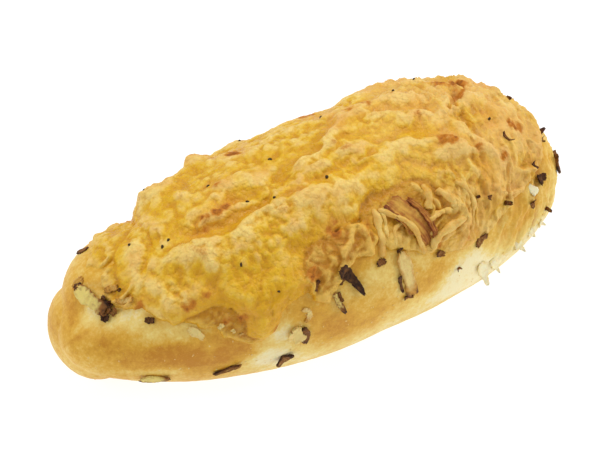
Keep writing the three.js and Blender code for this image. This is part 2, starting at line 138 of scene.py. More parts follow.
def bread_points(along, angle):
    """Points of the bread's plain form. along is x over the half length, angle is degrees from the top."""
    power = np.where(along < 0, *END_POWER)
    girth = np.maximum(0, 1 - np.abs(along) ** power) ** (1 / power)
    across = np.sin(np.radians(angle))
    up = np.cos(np.radians(angle))
    rounding = (np.abs(across) ** SECTION_POWER + np.abs(up) ** SECTION_POWER) ** (-1 / SECTION_POWER)
    minus_end = np.maximum(0, -along) ** TAPER_POWER
    plus_end = np.maximum(0, along) ** TAPER_POWER
    width = 1 - END_TAPER[0] * minus_end - END_TAPER[1] * plus_end
    height = width - TOP_TAPER * minus_end
    middle = WIDEST_AT * HEIGHT
    x = LENGTH / 2 * along
    y = HALF_WIDTH * width * across * rounding * girth + BEND * (along * along - BEND_LEVEL)
    z = middle * (0.55 + 0.45 * height) + (HEIGHT - middle) * height * up * rounding * girth
    points = np.stack(np.broadcast_arrays(x, y, z), -1)
    ray = points - INNER_POINT
    plain = np.linalg.norm(ray, axis=-1)
    ray = ray / plain[..., None]
    reach = plain
    for bulge in BULGES:
        other = reach_of_bulge(ray, bulge["centre"], bulge["radii"])
        blend = max(bulge["blend"], 1e-6)
        share = np.clip(0.5 + 0.5 * (reach - other) / blend, 0, 1)
        joined = other + (reach - other) * share + blend * share * (1 - share)
        reach = np.where(other > 0, joined, reach)
    bulging = np.clip((BULGES_START_AT - points[..., 0]) / BULGES_RAMP, 0, 1)
    return INNER_POINT + ray * (plain + (reach - plain) * bulging)[..., None]


def bread_normals(along, angle):
    """Unit normals of that form, from short steps both ways."""
    step = 0.002
    inner = np.clip(along, step - 1, 1 - step)
    length = bread_points(inner + step, angle) - bread_points(inner - step, angle)
    around = bread_points(inner, angle + 0.3) - bread_points(inner, angle - 0.3)
    normals = np.cross(length, around)
    normals /= np.linalg.norm(normals, axis=-1, keepdims=True)
    ends = np.stack(np.broadcast_arrays(np.sign(along), 0 * angle, 0 * angle), -1)
    return np.where((np.abs(along) > 1 - step)[..., None], ends, normals)


def even_stations(rings):
    """Shares of the half length from end to end, at even steps along the loaf's outline."""
    turn = np.linspace(0, math.pi, 4001)
    c, s = -np.cos(turn), np.sin(turn)
    power = np.where(c < 0, *END_POWER)
    reach = (np.abs(c) ** power + s**power) ** (-1 / power)
    steps = np.hypot(np.diff(c * reach) * LENGTH / 2, np.diff(s * reach) * HALF_WIDTH)
    lengths = np.concatenate([[0], np.cumsum(steps)])
    return np.interp(np.linspace(0, lengths[-1], rings + 1)[1:-1], lengths, c * reach)


def set_down(points):
    """Presses what lies under the base plane flat onto it, with a soft turn at the rim."""
    z = points[..., 2]
    rim = (z + BASE_ROUNDING) ** 2 / (4 * BASE_ROUNDING)
    points[..., 2] = np.where(z < -BASE_ROUNDING, 0, np.where(z < BASE_ROUNDING, rim, z))
    return points


def mesh_object(name, points, faces, attributes=()):
    """A smooth mesh object at the origin from points in millimetres, with one number per point and name."""
    mesh = bpy.data.meshes.new(name)
    mesh.from_pydata((np.asarray(points) * MM).tolist(), [], [list(face) for face in faces])
    mesh.polygons.foreach_set("use_smooth", [True] * len(mesh.polygons))
    for key, values in dict(attributes).items():
        layer = mesh.attributes.new(key, "FLOAT", "POINT")
        layer.data.foreach_set("value", np.asarray(values, np.float32).ravel())
    mesh.update()
    obj = bpy.data.objects.new(name, mesh)
    bpy.context.scene.collection.objects.link(obj)
    return obj


def torn_streaks(points, angle):
    """Stretch marks that run round the far end, from about -1 for a groove to 1, and 0 elsewhere."""
    x = points[..., 0]
    warped = points + 1.6 * shifts(points, 9, 43)
    slanted = warped - np.stack([0.31 * (warped[..., 2] - 30), 0 * x, 0 * x], -1)
    coarse = np.abs(noise(slanted, np.array([4.2, 17.0, 17.0]), 36))
    fine = np.abs(noise(slanted, np.array([1.8, 8.0, 8.0]), 37))
    side = np.abs(angle)
    share = smooth(x - TORN["slant"] * (side - TORN["level"]), *TORN["x"]) * smooth(-side, *TORN["below"])
    return share * (0.8 - 2.4 * coarse - 1.2 * fine)


def bread_relief(points, angle):
    """How far the crust stands out of the plain form: swells, wrinkles, and torn streaks at the far end."""
    x = points[..., 0]
    swells = layered(points, SWELLS)
    warped = points + 2.2 * shifts(points, 9, 33)
    torn = torn_streaks(points, angle)
    creases = 1 - np.minimum(1, 3 * np.abs(noise(warped, np.array([6.0, 9.0, 9.0]), 38)))
    past = (x - SHOULDER["x"]) / SHOULDER["reach"][0]
    aside = (angle - SHOULDER["angle"]) / SHOULDER["reach"][1]
    shoulder = np.exp(-(past**2) - aside**2)
    near_wrinkles = -SHOULDER["depth"] * shoulder * creases
    return swells + TORN_HEIGHT * torn + near_wrinkles + layered(points, DIMPLES)


def make_bread():
    along = even_stations(BREAD_RINGS)[:, None]
    angle = (360 * np.arange(BREAD_SLICES) / BREAD_SLICES - 180)[None, :]
    plain = bread_points(along, angle)
    skin = plain + bread_normals(along, angle) * bread_relief(plain, angle)[..., None]
    skin = set_down(skin)
    ends = [bread_points(np.array(end), np.array(0.0)) for end in (-1.0, 1.0)]
    points = np.concatenate([[ends[0]], skin.reshape(-1, 3), [ends[1]]])
    ring = np.arange(len(along) - 1)[:, None] * BREAD_SLICES + 1
    a = ring + np.arange(BREAD_SLICES)
    b = ring + (np.arange(BREAD_SLICES) + 1) % BREAD_SLICES
    quads = np.stack([a, a + BREAD_SLICES, b + BREAD_SLICES, b], -1).reshape(-1, 4)
    first = np.stack([np.zeros(BREAD_SLICES, int), a[0], b[0]], -1)
    last_ring = 1 + (len(along) - 1) * BREAD_SLICES
    last = np.stack([np.full(BREAD_SLICES, len(points) - 1), b[0] - 1 + last_ring, a[0] - 1 + last_ring], -1)
    side = np.concatenate([[0], np.broadcast_to(angle, skin.shape[:2]).ravel(), [0]])
    return mesh_object("bread_crust", points, [*first, *quads, *last], bake_masks(points, side))


# How golden the crust is at large, its mottling, and where it is browner, or paler: x, angle, reach in x,
# reach around, amount. Pale patches low on the near side are partly pale crust, partly painted highlight.
GOLDEN = 0.37
MOTTLING = ((26, 0.22, 41), (9, 0.17, 42), (4, 0.08, 44))
BAKED_PATCHES = (
    (-70, -78, 26, 13, 0.55), (-52, -90, 20, 12, 0.35), (-18, -92, 22, 10, 0.35), (20, -84, 14, 9, 0.3),
    (74, -66, 18, 24, 0.15), (98, -50, 6, 30, -0.05), (-60, 92, 34, 20, 0.4), (0, 96, 44, 16, 0.4),
    (68, 92, 24, 18, 0.35), (-96, 10, 8, 30, 0.3), (-84, -30, 9, 9, -0.3), (-68, -54, 12, 5, -0.4),
    (-32, -84, 10, 7, -0.6), (42, -92, 9, 12, -0.6), (42, -104, 20, 9, -0.4), (50, -100, 10, 10, -0.35),
    (0, -70, 16, 9, -0.25), (56, -58, 7, 8, -0.5), (79, -61, 5, 5, -0.5), (-10, -114, 44, 7, -0.35),
    (70, -112, 30, 12, -0.4), (-92, -45, 4, 8, 0.35), (-75, 30, 7, 12, 0.1), (2, -54, 26, 8, 0.35),
    (-75, -68, 4, 4, 0.3), (-50, -62, 3, 3, 0.2), (64, -95, 20, 8, 0.15), (-36, -100, 12, 6, -0.55),
    (-36, -80, 6, 5, -0.5), (12, -82, 6, 4, -0.3), (40, -92, 9, 5, -0.3), (-90, 0, 4, 14, -0.45),
    (-80, -30, 8, 4, -0.3), (-66, -62, 8, 3, -0.3), (26, -102, 12, 5, -0.25), (-97, -20, 4, 6, -0.2),
    (-40, -94, 6, 6, -0.6), (-53, -84, 8, 6, 0.25), (-21, -80, 7, 6, 0.3), (28, -85, 8, 5, 0.2),
    (-38, -104, 10, 6, -0.5), (-93, -62, 6, 4, 0.3), (-75, -99, 8, 4, -0.5), (46, -84, 6, 6, -0.4),
    (80, -102, 13, 12, -0.45), (-92, -8, 5, 7, -0.4), (6, -63, 8, 6, -0.3), (76, -84, 14, 14, -0.15),
    (-99, -25, 4, 5, 0.35), (-94, -52, 6, 4, 0.3), (-60, -79, 2, 8, -0.4), (-40, 104, 10, 6, -0.5),
    (-24, 92, 7, 4, 0.35), (26, 100, 12, 6, -0.4), (48, 108, 9, 4, 0.3), (-82, 62, 7, 6, -0.35),
    (-76, 96, 8, 5, 0.3), (88, 84, 6, 10, -0.3),
)


def bake_masks(points, angle):
    """How golden the crust is, from below 0 for white to 1 for brown, where crumbs stuck, and the streaks."""
    gold = layered(points, MOTTLING, GOLDEN)
    for x, at, reach_x, reach_around, amount in BAKED_PATCHES:
        around = (angle - at) * MM_PER_DEGREE
        gold += amount * np.exp(-(((points[:, 0] - x) / reach_x) ** 2) - (around / reach_around) ** 2)
    # Paler towards the base: partly crust baked pale there, partly painted highlight of light from below.
    gold -= 0.5 * smooth(-points[:, 2], -9, -1)
    streak = 0.5 + 0.5 * torn_streaks(points, angle)
    dusted = smooth(-np.abs(angle + 88), -26, -8) * smooth(-points[:, 0], -30, 20) + 0.15
    dusted = dusted * smooth(np.abs(angle), 55, 75)
    return {"gold": np.clip(gold, -0.5, 1), "dusted": dusted, "streak": streak}


def add_node(tree, kind, settings, sockets):
    """Adds a node to a tree, sets its settings, and sets or links its sockets."""
    node = tree.nodes.new(kind)
    for name, value in settings.items():
        setattr(node, name, value)
    for name, value in sockets.items():
        if isinstance(value, bpy.types.NodeSocket):
            tree.links.new(value, node.inputs[name])
        else:
            node.inputs[name].default_value = value
    return node


def open_group(name, sizes, results):
    """A shader group with sizes in millimetres going in, then its inputs, outputs, and object coordinates."""
    tree = bpy.data.node_groups.new(name, "ShaderNodeTree")
    for label, value in sizes.items():
        socket = tree.interface.new_socket(label, in_out="INPUT", socket_type="NodeSocketFloat")
        socket.default_value = value
    for label in results:
        tree.interface.new_socket(label, in_out="OUTPUT", socket_type="NodeSocketFloat")
    inputs = tree.nodes.new("NodeGroupInput").outputs
    outputs = tree.nodes.new("NodeGroupOutput").inputs
    return tree, inputs, outputs, tree.nodes.new("ShaderNodeTexCoord").outputs["Object"]


def texture_scale(tree, size):
    """A texture's scale for features of a size in millimetres."""
    return add_node(tree, "ShaderNodeMath", {"operation": "DIVIDE"}, {0: 1 / MM, 1: size}).outputs[0]


def mottle_group():
    """Uneven baking: broad patches, and fine grain that also serves as height for a bump."""
    sizes = {"Patch Size": 20.0, "Grain Size": 1.0}
    tree, inputs, outputs, place = open_group("baked_mottle", sizes, ("Patch", "Grain"))
    for name, detail, roughness in (("Patch", 3, 0.5), ("Grain", 4, 0.6)):
        scale = texture_scale(tree, inputs[name + " Size"])
        texture = add_node(tree, "ShaderNodeTexNoise", {},
                           {"Vector": place, "Scale": scale, "Detail": detail, "Roughness": roughness})
        tree.links.new(texture.outputs["Fac"], outputs[name])
    return tree


baked_mottle = mottle_group()


class Finish:
    """A material under construction, with short calls for the nodes that every finish here uses."""

    def __init__(self, name):
        self.material = bpy.data.materials.new(name)
        self.material.use_nodes = True
        self.tree = self.material.node_tree
        self.shader = self.tree.nodes["Principled BSDF"]

    def put(self, socket, value):
        """Sets a socket to a constant, or links it to another node's output."""
        if isinstance(value, bpy.types.NodeSocket):
            self.tree.links.new(value, socket)
        else:
            socket.default_value = value

    def attribute(self, name):
        return add_node(self.tree, "ShaderNodeAttribute", {"attribute_name": name}, {}).outputs["Fac"]

    def math(self, operation, a, b=0.0, c=0.0, clamp=False):
        settings = {"operation": operation, "use_clamp": clamp}
        return add_node(self.tree, "ShaderNodeMath", settings, {0: a, 1: b, 2: c}).outputs[0]

    def scaled(self, value, gain, offset=0.0):
        return self.math("MULTIPLY_ADD", value, gain, offset)

    def ramp(self, value, gain, offset=0.0):
        """A value times a gain, plus an offset, held between 0 and 1."""
        return self.math("MULTIPLY_ADD", value, gain, offset, True)

    def strayed(self, value, texture, amount, clamp=False):
        """A value that strays by a texture of 0 to 1 about its middle."""
        return self.math("MULTIPLY_ADD", self.math("SUBTRACT", texture, 0.5), amount, value, clamp)

    def mix(self, share, a, b):
        node = add_node(self.tree, "ShaderNodeMix", {"data_type": "RGBA"}, {"Factor": share})
        for key, value in (("A", a), ("B", b)):
            socket = [s for s in node.inputs if s.name == key and s.type == "RGBA"][0]
            self.put(socket, (*value, 1) if isinstance(value, tuple) else value)
        return [s for s in node.outputs if s.type == "RGBA"][0]

    def mottle(self, patch, grain):
        node = add_node(self.tree, "ShaderNodeGroup", {"node_tree": baked_mottle},
                        {"Patch Size": patch, "Grain Size": grain})
        return node.outputs["Patch"], node.outputs["Grain"]

    def surface(self, colour, roughness, gloss=0.5):
        """What the shader shows: a colour and a roughness, constant or from a node, and a constant gloss."""
        self.put(self.shader.inputs["Base Color"], colour)
        self.put(self.shader.inputs["Roughness"], roughness)
        self.shader.inputs["Specular IOR Level"].default_value = gloss

    def bump(self, height, depth, strength):
        """Fine relief of that depth in millimetres from a height that runs from 0 to 1."""
        sockets = {"Strength": strength, "Distance": depth * MM, "Height": height}
        self.put(self.shader.inputs["Normal"], add_node(self.tree, "ShaderNodeBump", {}, sockets).outputs[0])

    def soften(self, weight, radius):
        """Light that spreads under the surface, with its reach for red, green and blue in millimetres."""
        self.shader.subsurface_method = "RANDOM_WALK"
        self.shader.inputs["Subsurface Weight"].default_value = weight
        self.shader.inputs["Subsurface Radius"].default_value = radius
        self.shader.inputs["Subsurface Scale"].default_value = MM


WHITE = (0.92, 0.80, 0.46)
CREAM = (0.86, 0.635, 0.182)
GOLD = (0.735, 0.405, 0.042)
BROWN = (0.56, 0.235, 0.014)


def crust_finish():
    finish = Finish("crust")
    patch, grain = finish.mottle(9.0, 0.9)
    freckle, _ = finish.mottle(2.4, 0.9)
    gold = finish.strayed(finish.attribute("gold"), patch, 0.6)
    gold = finish.strayed(finish.strayed(gold, grain, 0.8), freckle, 0.7)
    colour = finish.mix(finish.ramp(gold, 2.0), CREAM, GOLD)
    colour = finish.mix(finish.ramp(gold, -2.2), colour, WHITE)
    colour = finish.mix(finish.ramp(gold, 2.0, -1.0), colour, BROWN)
    streak = finish.attribute("streak")
    grooves, ridges = finish.ramp(streak, -2.4, 1.0), finish.ramp(streak, 2.4, -1.5)
    pale_specks, brown_specks = finish.ramp(grain, 8.0, -5.0), finish.ramp(freckle, 12.0, -8.2)
    for place, share, tint in ((grooves, 0.75, BROWN), (ridges, 0.7, CREAM), (pale_specks, 0.5, CREAM),
                               (brown_specks, 0.35, BROWN)):
        colour = finish.mix(finish.scaled(place, share), colour, tint)
    finish.surface(colour, finish.scaled(grain, 0.2, 0.38), 0.25)
    finish.soften(0.08, (2.0, 1.0, 0.4))
    finish.bump(grain, 0.25, 0.7)
    return finish.material


bread = make_bread()
bread.data.materials.append(crust_finish())
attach(bread, "root")
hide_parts("loaf")

# ---- The cheese ----
# Grated cheese that melted into one sheet over the top of the loaf, bubbled, and set in folds and lumps.
# Its crests are a pale tan and its hollows amber: partly its own drier crests and wetter hollows, partly
# painted highlight on the crests and painted shade in the hollows. Its creases and the gaps between its
# pebbles are painted darker as shade, and its highest points browned.

# Its thickness away from the edge, how the edge rises to that, and the edge itself as (x, angle).
CHEESE_THICKNESS = 3.5
EDGE_LIP = {"share": 0.45, "reach": 1.6, "slope": 9}
CHEESE_OUTLINE = (
    (-57, 66), (-57, 56), (-60, 46), (-62, 36), (-66, 28), (-72, 22), (-77, 14), (-79, 4), (-79, -10),
    (-77, -26), (-74, -42), (-69, -51), (-63, -49), (-55, -48), (-50, -53), (-47, -60), (-47, -74),
    (-43, -79), (-37, -76), (-34, -66), (-30, -62), (-24, -59), (-19, -56), (-21, -46), (-18, -38),
    (-9, -37), (5, -35), (8, -28), (16, -26), (22, -28), (31, -27), (36, -31), (38, -38), (37, -46),
    (32, -54), (29, -60), (34, -70), (40, -74), (47, -72), (47, -58), (50, -50), (55, -48), (60, -57),
    (65, -54), (73, -46), (82, -38), (88, -24), (94, -4), (95, 20), (91, 44), (84, 60),
)
FAR_EDGE = {"angle": 75, "from": 78, "to": -58, "step": 4, "wave": 5, "wave_length": 31, "tongue": 9}
# Thin films of cheese below the sheet's edge: outline of (x, angle), thickness, height of its lumps, and how
# far they browned.
FILMS = (
    (((-23, -46), (-18, -36), (-4, -34), (6, -36), (8, -46), (5, -54), (-2, -52), (-8, -56), (-12, -62),
      (-16, -69), (-20, -66), (-22, -58)), 0.8, 1.5, 1.0),
    (((-50, 70), (-46, 84), (-38, 91), (-28, 90), (-20, 83), (-15, 70)), 0.5, 1.1, 0.8),
    (((14, 70), (20, 84), (30, 91), (42, 92), (52, 85), (58, 70)), 0.5, 1.1, 0.8),
    (((-66, 50), (-76, 62), (-72, 78), (-60, 84), (-50, 66)), 0.3, 0.8, 0.6),
    (((-56, 72), (-68, 64), (-75, 52), (-78, 38), (-78, 16), (-66, 20), (-60, 40)), 0.5, 1.0, 0.15),
    (((-67, -48), (-62, -58), (-57, -62), (-55, -70), (-50, -76), (-46, -82), (-41, -80), (-44, -60),
      (-54, -45)), 0.2, 1.0, 0.9),
    (((3, -30), (10, -22), (34, -24), (41, -36), (41, -60), (35, -70), (29, -66), (24, -66), (19, -60),
      (12, -56), (9, -46)), 0.5, 1.1, 0.7),
    (((46, -40), (46, -70), (50, -74), (58, -66), (66, -62), (76, -56), (84, -52), (90, -40), (97, -24),
      (99, 0), (99, 22), (94, 46), (80, 40)), 0.4, 1.1, 0.25),
    (((-72, 16), (-83, 10), (-86, -5), (-84, -18), (-79, -28), (-72, -32)), 0.4, 1.0, 0.35),
    (((-72, 40), (-80, 36), (-85, 27), (-83, 16), (-72, 14)), 0.25, 0.35, 0.1),
)
# Ridges and turned edges: a line of (x, angle), height, and the reach of the near and the far slope.
FOLDS = (
    (((-49, -12), (-39, -18), (-30, -16), (-14, -15), (3, -12), (14, -11)), 2.6, 9, 2.4),
    (((-17, -9), (-7, -7), (3, -4), (13, -4), (19, -8)), 2.3, 3.0, 2.6),
    (((-53, 56), (-55, 45), (-49, 40), (-40, 43), (-29, 47)), 2.9, 5, 7),
    (((-59, 14), (-58, 24), (-55, 38)), 1.5, 9, 3),
    (((-29, 50), (-24, 50)), 1.6, 3.5, 3.5),
    (((-49, 31), (-42, 17), (-34, 14)), 1.5, 3.5, 4.0),
    (((-49, 6), (-43, 6), (-36, 8)), 1.6, 3.2, 2.6),
    (((-42, -1), (-35, 0), (-30, -3)), 1.3, 2.6, 2.2),
    (((-29, 11), (-23, 10), (-18, 4)), 1.4, 3.4, 3.2),
    (((10, 8), (29, 18), (40, 10), (48, 4), (58, -6), (62, -20)), 2.5, 5.0, 2.6),
    (((-5, 0), (11, 4), (21, -4), (26, -9), (39, -11), (46, -15), (54, -23)), 2.5, 5.0, 2.6),
    (((24, 22), (44, 27), (52, 20), (62, 10), (62, 2)), 2.4, 4.6, 3.0),
    (((65, 4), (74, 7), (77, -7), (75, -18)), 2.0, 4, 3.4),
    (((46, -21), (57, -25), (67, -34)), 1.8, 3.6, 3.0),
    (((-13, -18), (9, -20), (23, -20), (40, -29)), 1.7, 4.4, 3.0),
    (((-18, -29), (-5, -27), (9, -29), (20, -31)), 1.4, 6, 4),
    (((33, -33), (40, -42), (42, -54)), 1.6, 4.4, 4.4),
    (((-44, -51), (-40, -72)), 1.0, 4, 4),
    (((-74, -16), (-70, -33), (-62, -44)), 1.3, 4, 4),
    (((-65, -8), (-56, -16), (-49, -25)), 1.4, 5, 4),
    (((-56, 62), (-34, 68), (-10, 61)), 1.8, 4, 6),
    (((-14, 48), (4, 47), (20, 45), (30, 46)), -0.9, 9, 12),
    (((38, 46), (50, 48), (62, 44)), 2.5, 6, 6),
    (((68, 44), (82, 32)), -0.6, 7, 8),
    (((50, 62), (68, 52), (80, 34)), 1.8, 5, 5),
    (((71, 18), (62, 3)), -2.2, 1.6, 1.6),
    (((-47, -5), (-36, -7), (-20, -9), (-10, -10)), -1.3, 2.0, 2.0),
    (((-30, 4), (-14, 3), (0, 8)), -0.9, 3.0, 3.0),
    (((8.5, 4), (12.5, 4)), -1.5, 3.4, 3.4),
)
# Broad lumps, round in the near half and drawn out in the far half, and where they change over.
ROUND_LUMPS = {"cell": np.array([9.0, 9.0, 9.0]), "height": 1.1, "seed": 11}
LONG_LUMPS = {"cell": np.array([17.0, 9.0, 9.0]), "height": 0.9, "seed": 12}
LUMPS_CHANGE = (-8, 16)
# Where the sheet is drawn into narrow ruffles: middle, reach in x, reach around, height, and how far it
# browned.
RUFFLED = {"x": 43, "angle": -50, "reach": (12, 15), "height": 1.5, "stain": 0.42}
# Finer lumps: size in millimetres, height and seed of the puffs, of the small bubbles, and of the lumps in
# the films.
PUFFS = ((11.0, 1.6, 13), (6.2, 1.2, 14))
BUBBLES = ((3.4, 0.85, 16), (1.9, 0.65, 17))
FILM_LUMPS = ((5.0, 0.6, 19), (2.4, 0.45, 20))
# Thin ribs where single shreds of cheese melted into the skin: lines of (x, angle), then height and reach.
RIBS = (
    ((29, -55), (32, -51), (36, -48), (41, -46)), ((31, -61), (35, -59), (40, -57), (45, -53)),
    ((33, -33), (36, -42), (36, -52), (34, -59)), ((40, -40), (43, -48), (42, -58), (39, -66), (38, -73)),
    ((28, -29), (32, -35), (33, -42), (30, -49)), ((46, -44), (49, -52), (48, -60)),
    ((44, -30), (48, -38), (47, -48), (44, -56), (45, -66)), ((52, -30), (54, -40), (60, -48)),
    ((1, -38), (-2, -43), (-7, -47)), ((3, -40), (4, -47), (2, -53)), ((-24, -50), (-20, -54), (-21, -58)),
    ((58, -44), (63, -52), (70, -56)), ((70, -40), (76, -48), (82, -50)), ((84, -30), (88, -38), (88, -46)),
    ((-77, 15), (-81, 14), (-83, 8)), ((-76, -10), (-80, -14), (-84, -12)), ((-78, -20), (-82, -22)),
    ((-44, 70), (-42, 80), (-36, 88)), ((-28, 72), (-30, 84), (-26, 89)), ((22, 72), (27, 84), (24, 90)),
    ((40, 70), (38, 82), (44, 90)), ((-64, 58), (-70, 66), (-68, 76)),
)
RIB_HEIGHT = 1.25
RIB_REACH = 1.0
RIB_SHARE_ON_SHEET = 0.6
# Browned spots: x, angle, radius and strength.
TOASTED_SPOTS = (
    (-25, 53, 3.5, 0.8), (-17, 36, 3.0, 0.9), (-32, 15, 2.2, 0.6), (-43, -1, 2.0, 0.9), (-34, 0, 2.4, 0.9),
    (-38, -1, 2.4, 0.8), (-46, -6, 3.0, 0.5), (-10, -13, 1.6, 0.6), (28, 26, 3.0, 0.6), (35, 25, 2.6, 0.6),
    (48, 27, 3.0, 0.6), (69, 30, 3.0, 0.8), (75, 27, 4.0, 0.9), (71, 16, 4.0, 0.6), (47, 3, 2.0, 0.5),
    (50, -17, 4.0, 0.8), (59, -27, 2.2, 0.6), (81, -20, 4.0, 0.8), (68, -35, 3.0, 0.6), (-6, -35, 3.2, 0.8),
    (-76, -28, 3.0, 0.6), (-62, -42, 3.5, 0.6), (-56, -40, 2.5, 0.5), (30, -62, 3.0, 0.5),
    (42, -66, 3.0, 0.5), (-47, -60, 2.6, 0.7), (-53, -58, 2.4, 0.6), (-19, -51, 3.0, 0.8),
    (-36, -74, 2.4, 0.8), (-31, -69, 2.4, 0.9), (6, -40, 4.0, 0.5), (-30, 66, 4.0, 0.8), (20, 52, 4.0, 0.7),
    (55, 60, 4.0, 0.8), (-60, 52, 3.0, 0.6),
)
# How far a film's rim strays, how much of the sheet's fine lumps it takes, and how wide its rounded edge is.
FILM_RIM = {"stray": 1.4, "fine": 0.25, "edge": 1.5}
# The grid over which the sheet is made, its ragged rim, and how far its underside lies in the crust.
CHEESE_STEP = 0.5
CHEESE_STATIONS = 470
CHEESE_REACH = (-84, 101)
CHEESE_ANGLES = (-86, 95)
RAGGED = ((6, 0.9, 61), (2.6, 0.5, 62))
SUNK = 1.3
RIM_WIDTH = 1.4
UNDERSIDE_BLOCK = 8
# Sizes over which the sheet is levelled to tell its creases, painted darker as shade, its crests and its
# broad forms, painted paler partly as highlight.
LEVELLED = (1.0, 2.2, 6)


def far_edge():
    """The outline's hidden stretch: a mean angle with waves, and tongues that run further down."""
    x = np.arange(FAR_EDGE["from"], FAR_EDGE["to"] - 1, -FAR_EDGE["step"])
    wave = FAR_EDGE["wave"] * np.sin(2 * math.pi * x / FAR_EDGE["wave_length"])
    tongue = FAR_EDGE["tongue"] * hashed(x, 0 * x, 0 * x, 5) ** 2
    return list(zip(x, FAR_EDGE["angle"] + wave + tongue))


def unrolled(line):
    return np.array([(x, angle * MM_PER_DEGREE) for x, angle in line], float)


def offset_from_line(x, v, line):
    """Distance from a line of points over the unrolled surface, and on which side: 1 is its left."""
    distance = np.full(x.shape, 1e9)
    side = np.ones(x.shape)
    for (ax, av), (bx, bv) in zip(line[:-1], line[1:]):
        ex, ev = bx - ax, bv - av
        share = np.clip(((x - ax) * ex + (v - av) * ev) / (ex * ex + ev * ev), 0, 1)
        here = np.hypot(x - ax - share * ex, v - av - share * ev)
        closer = here < distance
        distance = np.where(closer, here, distance)
        side = np.where(closer, np.where(ex * (v - av) - ev * (x - ax) < 0, -1, 1), side)
    return distance, side


cheese_outline = unrolled([*CHEESE_OUTLINE, *far_edge(), CHEESE_OUTLINE[0]])


def inside_outline(x, v, outline):
    """Distance inside a closed outline, negative outside it."""
    inside = np.zeros(x.shape, bool)
    for (ax, av), (bx, bv) in zip(outline[:-1], outline[1:]):
        if av != bv:
            inside ^= ((av > v) != (bv > v)) & (x < ax + (v - av) * (bx - ax) / (bv - av))
    distance, _ = offset_from_line(x, v, outline)
    return np.where(inside, distance, -distance)


def ruffles(x, v, turn, seed):
    """Long narrow ridges from 0 to 1 over the unrolled surface, turned from the loaf's length in degrees."""
    turn = math.radians(turn)
    along = x * math.cos(turn) + v * math.sin(turn)
    across = v * math.cos(turn) - x * math.sin(turn)
    flat = np.stack([along / 6.5, across / 2.3, np.full(x.shape, seed + 0.5)], -1)
    return np.clip(1 - 2.6 * np.abs(noise(flat, 1.0, seed)), 0, 1)


def domes(points, cell, seed):
    """Height from 0 to 1 of the highest dome over each point, one dome to a cell of a jittered lattice."""
    at = points / cell
    home = np.floor(at).astype(np.int64)
    nearest = np.full(at.shape[:-1], 9.0)
    for step in np.ndindex(3, 3, 3):
        lattice = home + np.array(step) - 1
        ijk = np.moveaxis(lattice, -1, 0)
        gap = [ijk[axis] + hashed(*ijk, seed + 100 * axis) - at[..., axis] for axis in range(3)]
        nearest = np.minimum(nearest, gap[0] ** 2 + gap[1] ** 2 + gap[2] ** 2)
    return np.clip(1 - nearest, 0, 1)


def cheese_relief(points, angle):
    """Heights in millimetres: the sheet away from its edge, its fine lumps, the films' wrinkles from 0 to 1,
    the ribs, and the share of the ruffled zone."""
    warp = shifts(points, 13, 50)
    warp += 0.4 * shifts(points, 5, 53)
    x = points[..., 0] + 2.4 * warp[..., 0]
    v = angle * MM_PER_DEGREE + 2.4 * warp[..., 1]
    height = np.full(x.shape, float(CHEESE_THICKNESS))
    uneven = 1 + 0.45 * noise(points, 11, 22)
    for line, rise, near, far in FOLDS:
        line = unrolled(line)
        distance, side = offset_from_line(x, v, line)
        reach = np.where(side * np.sign(line[-1][0] - line[0][0]) > 0, far, near)
        height += uneven * rise * np.exp(-((distance / reach) ** 2.5))
    plus = smooth(points[..., 0], *LUMPS_CHANGE)
    for lumps, share in ((ROUND_LUMPS, 1 - plus), (LONG_LUMPS, plus)):
        height += share * lumps["height"] * (domes(points, lumps["cell"], lumps["seed"]) - 0.6)
    moved = points + 1.2 * warp
    stretch = np.stack([1 - 0.35 * plus, 0 * plus + 1, 0 * plus + 1], -1)
    fine = sum(rise * (domes(moved * stretch, size, seed) - 0.7) for size, rise, seed in PUFFS)
    pebbly = 0.4 + 0.9 * smooth(noise(points, 15, 18), -0.5, 0.5)
    fine += pebbly * sum(rise * (domes(moved, size, seed) - 0.65) for size, rise, seed in BUBBLES)
    wrinkles = sum(rise * domes(moved, size, seed) ** 1.5 for size, rise, seed in FILM_LUMPS)
    wrinkles += 0.35 * np.maximum(ruffles(x, v, 40, 23), 0.8 * ruffles(x, v, -65, 24))
    away = np.hypot((x - RUFFLED["x"]) / RUFFLED["reach"][0],
                    (v - RUFFLED["angle"] * MM_PER_DEGREE) / RUFFLED["reach"][1])
    ruffled = np.exp(-(away**4))
    narrow = np.maximum(ruffles(x, v, 50, 25), ruffles(x, v, -80, 26))
    fine = fine * (1 - 0.6 * ruffled) + RUFFLED["height"] * ruffled * (narrow - 0.4)
    ribs = 0.0
    for line in RIBS:
        distance, _ = offset_from_line(x, v, unrolled(line))
        ribs = np.maximum(ribs, RIB_HEIGHT * np.exp(-((distance / RIB_REACH) ** 2)))
    return height, fine, wrinkles, ribs, ruffled


def blush(x, v, points):
    """A soft orange tint round the browned spots, and in patches where the sheet dried most."""
    tint = smooth(noise(points, 13, 74) + 0.2 * noise(points, 4, 75) + 0.004 * x, 0.25, 0.8)
    for spot_x, angle, radius, strength in TOASTED_SPOTS:
        away = np.hypot(x - spot_x, v - angle * MM_PER_DEGREE) / (radius + 3)
        tint = np.maximum(tint, strength * np.exp(-(away**2)))
    return tint


def toasting(x, v, points, relief):
    """How browned the sheet is, from 0 to 1: at its known spots, and here and there on the highest crests."""
    toast = 0.0
    uneven = 0.95 + 0.8 * noise(points, 2.2, 71)
    for spot_x, angle, radius, strength in TOASTED_SPOTS:
        away = np.hypot(x - spot_x, v - angle * MM_PER_DEGREE) / radius
        toast = np.maximum(toast, strength * np.exp(-0.8 * away**3))
    high = smooth(relief, 4.6, 7.5) * smooth(noise(points, 8, 72), 0.15, 0.6)
    return smooth(np.maximum(toast * uneven, 0.5 * high), 0.1, 1.0)


